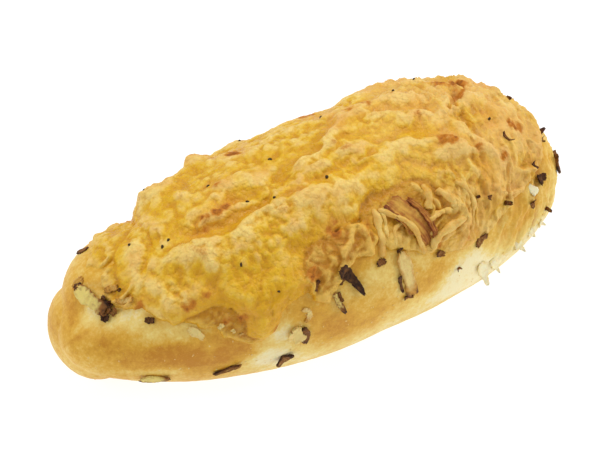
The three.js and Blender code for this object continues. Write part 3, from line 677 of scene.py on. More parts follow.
def keep_largest(cells):
    """The largest joined patch of a grid of cells, without cells that touch only at a corner."""
    cells = cells.copy()
    while True:
        a, b, c, d = cells[:-1, :-1], cells[:-1, 1:], cells[1:, :-1], cells[1:, 1:]
        one = a & d & ~b & ~c
        two = b & c & ~a & ~d
        if not (one.any() or two.any()):
            break
        cells[:-1, :-1] &= ~one
        cells[:-1, 1:] &= ~two
    label = np.zeros(cells.shape, int)
    best = (0, 0)
    count = 0
    for start in zip(*np.nonzero(cells)):
        if label[start]:
            continue
        count += 1
        label[start] = count
        front = [start]
        size = 0
        while front:
            i, j = front.pop()
            size += 1
            for n in ((i + 1, j), (i - 1, j), (i, j + 1), (i, j - 1)):
                if 0 <= n[0] < cells.shape[0] and 0 <= n[1] < cells.shape[1] and cells[n] and not label[n]:
                    label[n] = count
                    front.append(n)
        best = max(best, (size, count))
    return label == best[1]


# Steps from a cell to each neighbour, and to the two corners that they share.
CELL_SIDES = (((-1, 0), (0, 0), (0, 1)), ((1, 0), (1, 1), (1, 0)),
              ((0, -1), (1, 0), (0, 0)), ((0, 1), (0, 1), (1, 1)))


def sheet_faces(cells):
    """Faces of a closed sheet over a patch of grid cells, as (layer, i, j) corners: layer 0 is the top."""
    faces = []
    for i, j in zip(*np.nonzero(cells)):
        faces.append([(0, i, j), (0, i + 1, j), (0, i + 1, j + 1), (0, i, j + 1)])
    block = UNDERSIDE_BLOCK
    done = np.zeros(cells.shape, bool)
    for i in range(0, cells.shape[0] - block, block):
        for j in range(0, cells.shape[1] - block, block):
            if cells[i : i + block, j : j + block].all():
                done[i : i + block, j : j + block] = True
                rim = [(1, i, j + n) for n in range(block)]
                rim += [(1, i + n, j + block) for n in range(block)]
                rim += [(1, i + block, j + block - n) for n in range(block)]
                rim += [(1, i + block - n, j) for n in range(block)]
                faces.append(rim)
    for i, j in zip(*np.nonzero(cells & ~done)):
        faces.append([(1, i, j), (1, i, j + 1), (1, i + 1, j + 1), (1, i + 1, j)])
    padded = np.pad(cells, 1)
    for i, j in zip(*np.nonzero(cells)):
        for (next_i, next_j), a, b in CELL_SIDES:
            if not padded[i + 1 + next_i, j + 1 + next_j]:
                a, b = (i + a[0], j + a[1]), (i + b[0], j + b[1])
                faces.append([(0, *a), (0, *b), (1, *b), (1, *a)])
    return faces


def sheet_object(name, cells, layers, grids):
    """A closed sheet over a patch of grid cells, between two layers of points, with grids as masks."""
    index = -np.ones((2, *layers[0].shape[:2]), int)
    points, faces = [], []
    masks = {key: [] for key in grids}
    for face in sheet_faces(cells):
        for layer, i, j in face:
            if index[layer, i, j] < 0:
                index[layer, i, j] = len(points)
                points.append(layers[layer][i, j])
                for key, grid in grids.items():
                    masks[key].append(grid[i, j])
        faces.append([index[corner] for corner in face])
    return mesh_object(name, points, faces, masks)


def rounded(inside, reach):
    """A quarter round that rises from 0 at an edge to 1 at that reach inside it."""
    share = np.clip(inside / reach, 0, 1)
    return np.sqrt(share * (2 - share))


shown = {}


def blurred(values, size):
    """A grid of values with everything finer than size cells smoothed away, by three box blurs."""
    size = max(1, int(size))
    for axis in (0, 1) * 3:
        pad = [(size + 1, size) if a == axis else (0, 0) for a in (0, 1)]
        sums = np.cumsum(np.pad(values, pad, mode="edge"), axis=axis)
        front = np.take(sums, range(2 * size + 1, sums.shape[axis]), axis=axis)
        back = np.take(sums, range(0, sums.shape[axis] - 2 * size - 1), axis=axis)
        values = (front - back) / (2 * size + 1)
    return values


def make_cheese():
    along = even_stations(CHEESE_STATIONS)
    along = along[(along * LENGTH / 2 > CHEESE_REACH[0]) & (along * LENGTH / 2 < CHEESE_REACH[1])][:, None]
    angle = np.arange(*CHEESE_ANGLES, CHEESE_STEP / MM_PER_DEGREE)[None, :]
    plain = bread_points(along, angle)
    normals = bread_normals(along, angle)
    angles = np.broadcast_to(angle, plain.shape[:2])
    plain = plain + normals * bread_relief(plain, angles)[..., None]
    x, v = plain[..., 0], angles * MM_PER_DEGREE
    ragged = layered(plain, RAGGED)
    inside = inside_outline(x, v, cheese_outline) + ragged
    relief, fine, wrinkles, ribs, ruffled = cheese_relief(plain, angles)
    rim = EDGE_LIP["share"] * rounded(inside, EDGE_LIP["reach"])
    rim += (1 - EDGE_LIP["share"]) * smooth(inside, 0, EDGE_LIP["slope"])
    height = (relief + fine) * rim + RIB_SHARE_ON_SHEET * ribs * smooth(inside, 0, 1.5)
    film = RUFFLED["stain"] * ruffled
    for line, thickness, lumps, stain in FILMS:
        within = inside_outline(x, v, unrolled([*line, line[0]])) + FILM_RIM["stray"] * ragged
        skin = thickness + lumps * wrinkles + FILM_RIM["fine"] * fine + ribs
        skin = skin * rounded(within, FILM_RIM["edge"])
        inside = np.maximum(inside, within)
        film = np.where(skin > height, smooth(within, 0, 1) * stain, film)
        height = np.maximum(height, skin)
    height = np.where(inside > 0, height, np.maximum(inside, -1.0))
    cells = inside > -RIM_WIDTH
    cells = cells[:-1, :-1] & cells[:-1, 1:] & cells[1:, :-1] & cells[1:, 1:]
    cells = keep_largest(cells)
    top = plain + normals * height[..., None]
    under = plain - normals * SUNK
    shown["along"] = along[:, 0]
    shown["angle"] = angle[0]
    shown["height"] = np.where(inside > 0, height, 0)
    near, wide, wider = (blurred(height, size / CHEESE_STEP) for size in LEVELLED)
    grids = {
        # Painted shade: darker where the sheet lies below its close surroundings, in its creases.
        "crease_shade": np.clip((near - height) / 0.3 - 0.1, 0, 1),
        # Paler on crests and highs, darker in hollows: partly own colour, partly painted light and shade.
        "crest": np.clip(0.5 + (height - wide) / 1.3, 0, 1),
        "broad": np.clip(0.5 + (height - wider) / 3.6, 0, 1),
        "toast": toasting(x, v, plain, relief),
        "film": film,
        "dry": smooth(x, 4, 84) * smooth(noise(plain, 12, 73), -0.8, 0.3),
        "blush": blush(x, v, plain),
        "wet": smooth(-angles, 36, 62) * smooth(-x, 12, 26),
        "lip": np.exp(-((inside / EDGE_LIP["reach"]) ** 2)),
    }
    return sheet_object("melted_cheese", cells, (top, under), grids)


def pebbled_group():
    """Close-set round pebbles: their height, and how deep a place lies between them, for painted shade."""
    tree, inputs, outputs, place = open_group("pebbled_skin", {"Size": 2.0}, ("Height", "Gap Shade"))
    scale = texture_scale(tree, inputs["Size"])
    wander = add_node(tree, "ShaderNodeTexNoise", {}, {"Vector": place, "Scale": scale, "Detail": 2})
    shift = add_node(tree, "ShaderNodeVectorMath", {"operation": "MULTIPLY_ADD"},
                     {0: wander.outputs["Color"], 1: (0.6 * MM, 0.6 * MM, 0.6 * MM), 2: place})
    cells = add_node(tree, "ShaderNodeTexVoronoi", {}, {"Vector": shift.outputs[0], "Scale": scale})
    away = cells.outputs["Distance"]
    minus = add_node(tree, "ShaderNodeMath", {"operation": "MULTIPLY"}, {0: away, 1: -1}).outputs[0]
    dome = add_node(tree, "ShaderNodeMath", {"operation": "MULTIPLY_ADD"}, {0: away, 1: minus, 2: 1})
    gap = add_node(tree, "ShaderNodeMapRange", {}, {"Value": away, "From Min": 0.5, "From Max": 0.85})
    tree.links.new(dome.outputs[0], outputs["Height"])
    tree.links.new(gap.outputs[0], outputs["Gap Shade"])
    return tree


pebbled_skin = pebbled_group()


def pebbles(finish, size):
    node = add_node(finish.tree, "ShaderNodeGroup", {"node_tree": pebbled_skin}, {"Size": size})
    return node.outputs["Height"], node.outputs["Gap Shade"]


TAN = (0.885, 0.64, 0.185)
ROSY = (0.84, 0.52, 0.14)
YELLOW = (0.82, 0.505, 0.024)
AMBER = (0.73, 0.385, 0.008)
# Painted shade for the sheet's creases and the gaps between its pebbles.
CREASE_SHADE = (0.65, 0.305, 0.014)
BLUSH = (0.79, 0.385, 0.075)
PEACH = (0.88, 0.585, 0.215)
# Film colours: the hollows' brown is partly its browning and partly painted shade.
FILM_CREST = (0.76, 0.46, 0.085)
FILM_HOLLOW_BROWN_AND_SHADE = (0.47, 0.185, 0.010)
TOASTED = (0.56, 0.20, 0.016)
CHARRED = (0.27, 0.078, 0.010)


def cheese_finish():
    finish = Finish("cheese")
    patch, grain = finish.mottle(7.0, 0.9)
    rosy, _ = finish.mottle(11.0, 0.9)
    _, speck = finish.mottle(3.0, 1.1)
    # The gaps between these pebbles are darkened below as painted shade.
    pebble, gap = pebbles(finish, 2.4)
    small_pebble, small_gap_shade = pebbles(finish, 1.1)
    crest, wet, toasted = (finish.attribute(name) for name in ("crest", "wet", "toast"))
    # Paler on crests, amber in hollows: partly own colour, partly painted highlight and painted shade.
    height = finish.scaled(crest, 0.6, finish.scaled(finish.attribute("broad"), 0.4))
    height = finish.ramp(wet, -0.6, finish.strayed(height, patch, 1.2))
    pale = finish.mix(finish.ramp(rosy, 5.0, -2.2), TAN, ROSY)
    pale = finish.mix(finish.scaled(wet, 0.5), pale, YELLOW)
    colour = finish.mix(finish.ramp(height, 2.8, -0.6), AMBER, YELLOW)
    colour = finish.mix(finish.ramp(height, 2.6, -1.2), colour, pale)
    # The films: darker in their hollows, partly browning and partly painted shade, paler on crests.
    film = finish.mix(finish.ramp(crest, -2.0, 1.8), FILM_CREST, FILM_HOLLOW_BROWN_AND_SHADE)
    # Painted shade: the creases and the gaps between pebbles are darkened with the crease colour.
    for place, share, tint in (("crease_shade", 0.8, CREASE_SHADE), (gap, 0.32, CREASE_SHADE), (small_gap_shade, 0.24, CREASE_SHADE),
                               ("dry", 0.55, PEACH), ("blush", 0.5, BLUSH), ("film", 0.85, film),
                               ("lip", 0.3, AMBER)):
        place = finish.attribute(place) if isinstance(place, str) else place
        colour = finish.mix(finish.scaled(place, share), colour, tint)
    toast = finish.strayed(toasted, speck, 0.9)
    colour = finish.mix(finish.ramp(toast, 1.9, -0.2), colour, TOASTED)
    colour = finish.mix(finish.ramp(toast, 2.6, -1.9), colour, CHARRED)
    finish.surface(colour, finish.scaled(height, 0.25, finish.scaled(toasted, 0.4, 0.3)), 0.25)
    finish.soften(0.08, (1.4, 0.8, 0.2))
    finish.bump(finish.scaled(grain, 0.5, finish.scaled(small_pebble, 0.45, pebble)), 0.6, 0.9)
    return finish.material


cheese = make_cheese()
cheese.data.materials.append(cheese_finish())
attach(cheese, "root")
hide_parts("cheese")

# ---- Melted threads ----
# Where shreds of cheese ran down from the sheet's edge they set as soft round threads, pale yellow where
# they are thin, and stuck to the crust along their length.

# Width, how far the middle stands off, and the route as (x, angle).
THREADS = (
    (3.0, 0, ((11.6, -33), (11, -38), (10, -43), (9.6, -49), (8.4, -54), (7.4, -57))),
    (2.3, 2.1, ((13, -34), (15.6, -38), (18.4, -42), (21, -46), (22.4, -51), (23.2, -57), (24.4, -65))),
    (1.6, 0, ((20.6, -45.5), (18, -44.5), (15.6, -46), (14.4, -49.5), (14.2, -54))),
    (1.6, 0, ((13, -35), (13.4, -40), (12.4, -45), (11.6, -49))),
    (3.0, 0.4, ((37.3, -36), (39.2, -41.5), (40.5, -48))),
    (3.2, 1.2, ((33.2, -32), (32.6, -38), (31, -44))),
    (3.4, 1.1, ((41.5, -54), (34.8, -56), (30, -58.5), (27.4, -64))),
    (2.4, 0.3, ((44.4, -36.5), (47, -41.5), (48.3, -48), (47, -54), (45.5, -61))),
    (2.4, 0.8, ((29.6, -48.5), (33.5, -47.5), (39, -48.5))),
    (2.0, 0, ((-30, 84), (-33, 91), (-31, 97))),
    (1.8, 0, ((24, 86), (28, 93), (27, 99))),
    (1.8, 0, ((60, 78), (63, 86), (67, 90))),
)
THREAD_POINTS = 18
# Size and amount of the threads' unevenness.
WAVER_SIZE = 2.7
WAVER = 1.3


def shown_height(along, angle):
    """Height of the cheese over the plain crust at places given as arrays, 0 where the crust is bare."""
    i = np.interp(along, shown["along"], np.arange(len(shown["along"])))
    j = np.interp(angle, shown["angle"], np.arange(len(shown["angle"])))
    i0 = np.clip(i.astype(int), 0, len(shown["along"]) - 2)
    j0 = np.clip(j.astype(int), 0, len(shown["angle"]) - 2)
    i, j = i - i0, j - j0
    h = shown["height"]
    low = h[i0, j0] * (1 - i) + h[i0 + 1, j0] * i
    high = h[i0, j0 + 1] * (1 - i) + h[i0 + 1, j0 + 1] * i
    return low * (1 - j) + high * j


def resting_places(x, angle):
    """Points of what shows at stations x and at angles, cheese or bare crust, and the normals there."""
    along = np.clip(np.asarray(x, float) * 2 / LENGTH, -0.998, 0.998)
    angle = np.asarray(angle, float)
    plain = bread_points(along, angle)
    normals = bread_normals(along, angle)
    height = bread_relief(plain, angle) + shown_height(along, angle)
    return plain + normals * height[..., None], normals


def curve_through(route, count):
    """A smooth curve of that many points through a route's points of two numbers."""
    route = np.array(route, float)
    padded = np.concatenate([[2 * route[0] - route[1]], route, [2 * route[-1] - route[-2]]])
    share = np.linspace(0, len(route) - 1, count)
    first = np.minimum(share.astype(int), len(route) - 2)
    t = (share - first)[:, None]
    a, b, c, d = (padded[first + n] for n in range(4))
    cubic = 2 * b + (c - a) * t + (2 * a - 5 * b + 4 * c - d) * t**2 + (3 * b - a - 3 * c + d) * t**3
    return cubic / 2


class Recipe:
    """A Geometry Nodes tree under construction, with named inputs, which an object's mesh goes through."""

    def __init__(self, name, inputs):
        self.tree = bpy.data.node_groups.new(name, "GeometryNodeTree")
        sockets = {"Geometry": "Geometry", **inputs, "Finish": "Material"}
        for label, kind in sockets.items():
            self.tree.interface.new_socket(label, in_out="INPUT", socket_type="NodeSocket" + kind)
        self.tree.interface.new_socket("Geometry", in_out="OUTPUT", socket_type="NodeSocketGeometry")
        self.inputs = self.tree.nodes.new("NodeGroupInput").outputs

    def node(self, kind, settings, sockets, output=0):
        """Adds a node, sets its settings, sets or links its sockets, and gives one of its outputs."""
        return add_node(self.tree, kind, settings, sockets).outputs[output]

    def named(self, name):
        return self.node("GeometryNodeInputNamedAttribute", {"data_type": "FLOAT"}, {"Name": name})

    def roughened(self, geometry, size, amount, seed):
        """Moves every point by noise of that feature size, by at most about that amount, both in metres."""
        position = self.node("GeometryNodeInputPosition", {}, {})
        scale = self.node("ShaderNodeMath", {"operation": "DIVIDE"}, {0: 1.0, 1: size})
        wander = self.node("ShaderNodeTexNoise", {"noise_dimensions": "4D"},
                           {"Vector": position, "W": seed, "Scale": scale, "Detail": 1.0}, "Color")
        middle = self.node("ShaderNodeVectorMath", {"operation": "SUBTRACT"}, {0: wander, 1: (0.5, 0.5, 0.5)})
        offset = self.node("ShaderNodeVectorMath", {"operation": "SCALE"}, {0: middle, "Scale": amount})
        return self.node("GeometryNodeSetPosition", {}, {"Geometry": geometry, "Offset": offset})

    def close(self, geometry):
        """Ends the tree with real meshes in their finish."""
        real = self.node("GeometryNodeRealizeInstances", {}, {"Geometry": geometry})
        smooth_mesh = self.node("GeometryNodeSetShadeSmooth", {}, {"Geometry": real})
        finished = self.node("GeometryNodeSetMaterial", {},
                             {"Geometry": smooth_mesh, "Material": self.inputs["Finish"]})
        self.tree.links.new(finished, self.tree.nodes.new("NodeGroupOutput").inputs["Geometry"])

    def cook(self, obj, values):
        """Runs an object's mesh through the tree and keeps the result as its plain mesh."""
        modifier = obj.modifiers.new("recipe", "NODES")
        modifier.node_group = self.tree
        for item in self.tree.interface.items_tree:
            if item.in_out == "INPUT" and item.name in values:
                modifier[item.identifier] = values[item.name]
        made = bpy.data.meshes.new_from_object(obj.evaluated_get(bpy.context.evaluated_depsgraph_get()))
        obj.modifiers.clear()
        raw, obj.data = obj.data, made
        bpy.data.meshes.remove(raw)


def thread_recipe():
    recipe = Recipe("melted_thread", {"Waver Size": "Float", "Waver": "Float", "Seed": "Float"})
    curve = recipe.node("GeometryNodeMeshToCurve", {}, {"Mesh": recipe.inputs["Geometry"]})
    half_width = recipe.named("half_width")
    curve = recipe.node("GeometryNodeSetCurveRadius", {}, {"Curve": curve, "Radius": half_width})
    ring = recipe.node("GeometryNodeCurvePrimitiveCircle", {}, {"Resolution": 12, "Radius": 1.0})
    tube = recipe.node("GeometryNodeCurveToMesh", {},
                       {"Curve": curve, "Profile Curve": ring, "Fill Caps": True, "Scale": half_width})
    recipe.close(recipe.roughened(tube, *(recipe.inputs[name] for name in ("Waver Size", "Waver", "Seed"))))
    return recipe


def thread_routes():
    """The threads' middle lines as one mesh of edges, with each point's half width in metres."""
    points, edges, half_widths = [], [], []
    share = np.linspace(0, 1, THREAD_POINTS)
    for number, (width, rise, route) in enumerate(THREADS):
        x, angle = curve_through(route, THREAD_POINTS).T
        place, normal = resting_places(x, angle)
        uneven = 0.75 + 0.35 * np.sin(7 * share + number) ** 2
        half = width / 2 * uneven * rounded(1 - share, 0.12)
        half = np.maximum(half * rounded(share + 0.03, 0.1), 0.05)
        lift = rise * np.sin(math.pi * share) + 0.2 * np.sin(9 * share + 2 * number)
        place = place + normal * (lift - 0.25 * half)[:, None]
        first = len(points)
        points.extend(place)
        edges.extend((first + n, first + n + 1) for n in range(THREAD_POINTS - 1))
        half_widths.extend(half * MM)
    threads = mesh_object("melted_threads", points, [], {"half_width": half_widths})
    threads.data.edges.add(len(edges))
    threads.data.edges.foreach_set("vertices", np.array(edges).ravel())
    return threads


PALE_THREAD = (0.84, 0.58, 0.155)
AMBER_THREAD = (0.70, 0.38, 0.05)


def thread_finish():
    finish = Finish("thread")
    patch, grain = finish.mottle(5.0, 1.0)
    colour = finish.mix(finish.ramp(patch, 3.0, -1.0), PALE_THREAD, AMBER_THREAD)
    finish.surface(colour, finish.scaled(grain, 0.3, 0.3))
    finish.soften(0.25, (2.0, 1.2, 0.5))
    finish.bump(grain, 0.5, 0.8)
    return finish.material


threads = thread_routes()
thread_recipe().cook(threads, {"Waver Size": WAVER_SIZE * MM, "Waver": WAVER * MM, "Seed": 3.0,
                               "Finish": thread_finish()})
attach(threads, "root")

# ---- Shreds of onion and leek ----
# Thin strips, cut by hand and strewn over the loaf. What lay bare in the oven dried, curled up at its tips
# and charred: leek to near black, onion to a clear yellow with brown ends.

# Each strip: its route as (x, angle), width, thickness, how far its ends curl up, how burnt it is, how much
# more so at its last end, the height of the ridges along it, and what else sets it apart.
SHREDS = {
    "leek_end": (((-86.5, 21), (-87, 8), (-87, -4), (-86, -16)),
        5.3, 1.2, 0.15, -0.1, 0.9, 0.05, {"ribs": 0.13, "sides": (0.0, 0.5)}),
    "leek_base_left": (((-83, -108), (-79, -110), (-74, -109)),
        3.4, 1.2, 0.3, -0.1, 0.6, 0.1, {"sides": (0.9, 0.1)}),
    "leek_base_mid": (((-59, -108), (-54, -104), (-50, -99)),
        2.2, 1.0, 0.35, 0.55, -0.1, 0.15, {"pointed": 0.5}),
    "leek_base_curl": (((-37, -106), (-34, -104), (-31, -102)),
        3.2, 1.1, 0.9, 0.48, 0.5, 0.15, {"sides": (0.5, 0.6)}),
    "onion_chunk": (((-31.6, -79), (-30, -83), (-28.6, -88)),
        5, 1.7, 0.4, -0.3, 0.2, 0.1, {"sides": (0.0, 0.2)}),
    "leek_fork": (((-10, -54), (-7.6, -57), (-5.4, -63), (-3, -72)),
        5.4, 1.0, 0.5, 0.9, 0.2, 0.25, {"pointed": 0.75}),
    "leek_stalk": (((-14, -64), (-13, -71), (-11, -79)), 2, 1.2, 0.4, 0.2, 0.9, 0.1, {"sides": (0.1, 0.3)}),
    "onion_strip": (((15, -58), (15.5, -66), (16.2, -77), (17.4, -88)), 4.8, 1.1, 0.1, -0.05, 0.7, 0.1, {}),
    "leek_far_end": (((97, -53), (97.2, -61), (96, -70)), 3.6, 1.0, 0.35, 0.4, 0.6, 0.15, {}),
    "onion_far_left": (((-50, 92), (-45, 98), (-38, 101)), 3.8, 1.2, 0.6, 0.1, 0.8, 0.2, {}),
    "leek_far_mid": (((4, 90), (10, 96), (12, 104)), 3.2, 1.2, 0.9, 0.8, 0.4, 0.15, {}),
    "onion_far_right": (((52, 88), (60, 93), (66, 92)), 4, 1.2, 0.6, 0.1, 0.7, 0.2, {}),
}
SHRED_STEPS = 30
SHRED_ACROSS = 8
SHRED_LIFT = -0.15


def strip_parts(route, width, thick, curl, burnt, end, ridges, steps=SHRED_STEPS, across=SHRED_ACROSS,
                lift=SHRED_LIFT, streaks=0.0, pointed=0.0, sides=(0.35, 0.35), ribs=0.0, torn=0.2,
                rooted=False):
    """Points, faces and char of one thin wavy strip with ragged sides, both of its faces split alike.

    Its last end may be pointed, its sides more burnt or torn, and it may have burnt streaks along it and ribs
    across it. A rooted strip curls up only at its last end.
    """
    x, angle = curve_through(route, steps + 1).T
    place, normal = resting_places(x, angle)
    forward = np.gradient(place, axis=0)
    sideways = np.cross(normal, forward)
    sideways /= np.linalg.norm(sideways, axis=1, keepdims=True)
    share = np.linspace(0, 1, steps + 1)[:, None]
    side = np.linspace(-1, 1, across + 1)[None, :]
    tip = np.abs(2 * share - 1)
    seed = int(abs(10 * x[0]) + abs(7 * angle[0]))
    spots = np.stack(np.broadcast_arrays(share * 9, side * 1.5, 0 * side), -1)
    ragged = 1 + torn * noise(spots * 1.7, 1.0, seed) + 0.14 * np.sin(9 * share + width)
    half = width / 2 * np.sqrt(1 - 0.6 * tip**6) * ragged * (1 - pointed * share**1.5)
    curled = np.where(rooted & (share < 0.5), 0, tip**2)
    rise = lift + curl * curled * (1.6 + np.sin(5 * share + 2 * width))
    cup = 0.06 * width * (side * np.sin(4 * share + width) + 1) * (0.6 + side * side)
    crossing = ribs * np.sin(40 * share + 1.5 * side + noise(spots, 1.0, seed + 5))
    waves = 0.3 * noise(spots * 0.8, 1.0, seed + 1) + ridges * np.cos(side * 9) + crossing
    middle = rise + cup + waves * 0.6 + thick / 2
    body = thick / 2 * np.sqrt(np.clip(1 - 0.85 * side**4, 0, 1)) * np.sqrt(np.clip(1 - 0.7 * tip**8, 0, 1))
    along_tip = 0.35 * width * noise(spots * np.array([0.0, 1.6, 0]) + 5, 1.0, seed + 2) * tip**6
    step = forward / np.linalg.norm(forward, axis=1, keepdims=True)
    flat = place[:, None] + sideways[:, None] * (side * half)[..., None]
    flat = flat + step[:, None] * (np.sign(share - 0.5) * along_tip)[..., None]
    layers = [flat + normal[:, None] * (middle + sign * body)[..., None] for sign in (1, -1)]
    points = np.concatenate([layer.reshape(-1, 3) for layer in layers])
    row = across + 1
    count = row * (steps + 1)
    faces = []
    for i in range(steps):
        for j in range(across):
            a = i * row + j
            faces.append((a, a + row, a + row + 1, a + 1))
            faces.append((count + a, count + a + 1, count + a + row + 1, count + a + row))
    rim = [i * row for i in range(steps + 1)] + [steps * row + j for j in range(1, row)]
    rim += [i * row + across for i in range(steps - 1, -1, -1)] + list(range(across - 1, 0, -1))
    for a, b in zip(rim, rim[1:] + rim[:1]):
        faces.append((b, a, count + a, count + b))
    near_edge = smooth(-side, 0.45, 1.0) * sides[0] + smooth(side, 0.45, 1.0) * sides[1]
    near_edge = near_edge + smooth(share, 0.6, 1.0) * end + smooth(0.16 - share, 0, 0.16) * 0.3
    veins = streaks * noise(spots * np.array([0.25, 3.5, 0]) + 3, 1.0, seed + 4) - 0.6 * crossing
    char = np.clip(burnt + near_edge + veins + 0.3 * noise(spots * 1.3, 1.0, seed + 3), 0, 1)
    return points, faces, np.concatenate([char.ravel(), char.ravel()])


def strips_object(name, strips):
    """One mesh of several strips."""
    points, faces, char = [], [], []
    for strip in strips:
        *form, rest = strip
        more, corners, dark = strip_parts(*form, **rest)
        faces.extend([corner + len(points) for corner in face] for face in corners)
        points.extend(more)
        char.extend(dark)
    return mesh_object(name, points, faces, {"char": char})


def shred_finish(name, fresh, browned, black):
    """Fresh colour, then browned, then charred black, by the char mask, with fine veins."""
    finish = Finish(name)
    patch, grain = finish.mottle(3.0, 0.7)
    char = finish.strayed(finish.attribute("char"), patch, 0.6, True)
    colour = finish.mix(finish.ramp(char, 2.0), fresh, browned)
    colour = finish.mix(finish.ramp(char, 2.0, -1.0), colour, black)
    finish.surface(colour, finish.scaled(grain, 0.5, 0.3), 0.18)
    finish.soften(0.15, (2.0, 1.0, 0.3))
    finish.bump(grain, 0.4, 1.0)
    return finish.material


leek_finish = shred_finish("leek", (0.81, 0.64, 0.19), (0.29, 0.115, 0.022), (0.045, 0.017, 0.007))
onion_finish = shred_finish("onion", (0.86, 0.65, 0.24), (0.58, 0.28, 0.04), (0.12, 0.042, 0.012))
for name, strip in SHREDS.items():
    kind = name.split("_")[0]
    shred = strips_object("dried_" + name, [strip])
    shred.data.materials.append(leek_finish if kind == "leek" else onion_finish)
    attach(shred, "root")
    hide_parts(name)

# ---- Scraps on the crust and the cheese ----
# Torn ends of the same leek and onion, a slab of browned onion that the cheese ran round, and pale wisps of
# cheese that stick out near the base. Each is pressed lightly onto what it lies on.

# Station, angle, length, turn from the loaf's length, width, curl and how burnt.
LEEK_SCRAPS = (
    (-75.5, 46, 6.5, 110, 2.2, 0.3, 0.6), (-86.0, 22, 3.6, 130, 2.4, 0.6, 0.8),
    (-85.0, -6, 4.4, 15, 2.4, 1.0, 0.7), (-84.0, -13, 3.8, 80, 2.4, 1.3, 0.8),
    (-86.5, -16, 4.4, 20, 2.8, 1.0, 0.6), (-88.0, -22, 3.8, 120, 2.6, 1.0, 1.0),
    (-84.6, -21, 3.2, 40, 2.0, 1.2, 0.45), (-85.0, 8, 5.0, 95, 1.0, 0.5, 0.6),
    (-76.0, -41, 3.4, 140, 2.2, 0.6, 0.8), (-78.6, -8, 1.2, 20, 1.0, 0.3, 0.9),
    (-19.4, -56.5, 4.2, 55, 1.4, 0.4, 0.7), (-9.8, -60, 3.0, 60, 1.6, 0.3, 0.8),
    (-11.8, -68, 4.6, 100, 1.2, 0.5, 0.6), (6.6, -59, 3.6, 10, 2.4, 0.5, 0.65),
    (14.7, -58, 3.8, 80, 1.6, 0.5, 0.8), (12.6, -76, 8.5, 95, 1.3, 0.5, 0.75),
    (15.6, -89, 3.6, 0, 1.5, 0.4, 0.5), (49.0, -73, 6.4, 55, 2.7, 0.3, 0.5),
    (30.8, -69, 3.4, 160, 2.6, 0.6, 0.55), (38.4, -86, 1.8, 20, 1.0, 0.4, 0.5),
    (83.8, -59, 4.6, 10, 3.8, 0.9, 0.95), (76.0, -70, 5.2, 100, 2.2, 0.9, 0.6),
    (89.5, 8, 4.0, 70, 1.6, 0.6, 0.6), (99.0, -23, 3.2, 60, 1.8, 0.9, 0.85),
    (93.0, -34, 2.6, 100, 1.6, 0.6, 0.6), (81.0, -47, 3.6, 100, 1.5, 0.5, 0.8),
    (72.6, -27, 5.0, 100, 1.0, 0.9, 0.7), (63.5, -59, 3.0, 150, 1.6, 0.6, 0.7),
    (51.0, -48, 1.4, 0, 1.1, 0.4, 0.9), (55.6, -51, 1.8, 60, 1.3, 0.4, 0.75),
    (98.4, -56, 4.0, 15, 2.8, 0.9, 0.5), (86.0, -90, 3.2, 110, 1.4, 0.9, 0.7),
    (-45.0, 88, 4.0, 40, 2.4, 0.7, 0.8), (-12.0, 94, 5.0, 100, 2.6, 0.9, 0.85),
    (34.0, 89, 4.4, 60, 2.2, 0.8, 0.75), (78.0, 74, 4.6, 20, 3.0, 0.8, 0.9),
    (88.0, 52, 3.6, 100, 2.4, 0.7, 0.8), (-70.0, 84, 3.6, 80, 2.4, 0.8, 0.7),
    (44.0, 84, 2.4, 20, 1.6, 0.5, 0.8), (-28.0, 78, 2.6, 140, 1.8, 0.5, 0.6),
)
ONION_SCRAPS = (
    (-80.0, -3, 4.6, 140, 2.6, 0.3, 0.45), (-79.6, -18, 6.4, 130, 2.4, 0.3, 0.3),
    (-63.5, -61, 8.0, 120, 2.9, 0.8, -0.2), (-55.0, -61, 2.8, 40, 1.6, 0.4, 0.0),
    (-51.5, -66, 2.2, 110, 1.3, 0.4, 0.0), (-49.0, -70, 1.8, 20, 1.0, 0.3, 0.2),
    (-52.0, 86, 6.0, 60, 3.0, 0.4, -0.1), (14.0, 86, 6.0, 110, 2.8, 0.4, -0.2),
    (70.0, 82, 5.0, 30, 2.8, 0.4, -0.1),
)
WHITE_SCRAP = (77.6, -61, 5.6, 100, 3.4, 0.3, -0.5)
# The slab, the turned edges along it, and a browned patch at the near end.
BROWNED_ONIONS = (
    (((18.5, -33), (21.5, -40), (24.5, -48), (27, -59)),
        9.0, 0.7, 0.1, 0.18, 0.4, 0.16, {"across": 26, "streaks": 0.7, "lift": -0.45, "sides": (0.2, 0.3)}),
    (((25, -35), (28, -42), (29.5, -50), (29, -58)),
        2.6, 0.8, 0.1, 0.45, 0.3, 0.25, {"across": 12, "streaks": 0.8, "lift": 0.1}),
    (((15.4, -34), (17, -39), (18.6, -44)),
        1.7, 0.7, 0.2, 0.9, 0.2, 0.1, {"across": 8, "streaks": 0.5, "lift": 0.5}),
    (((-87.5, 27), (-85.6, 26), (-83, 22)),
        3.4, 0.5, 0.05, -0.1, 0.2, 0.2,
        {"across": 14, "streaks": 1.0, "lift": -0.2, "torn": 0.5, "sides": (0.0, 0.1)}),
)
# A sliver of an onion's ring, and the charred tip of the pale onion chunk.
ONION_RING = (((-26.4, -68), (-24.2, -70), (-24.2, -74), (-26, -77)),
    2.0, 0.6, 0.05, 0.14, 0.4, 0.1, {"across": 8, "lift": -0.3, "sides": (0.1, 0.0)})
LEEK_TIP = (((-27.2, -80), (-26.2, -86), (-27, -93)),
    3.0, 1.1, 0.1, 0.62, 0.3, 0.1, {"across": 8, "lift": 0.1, "sides": (0.0, 0.2)})
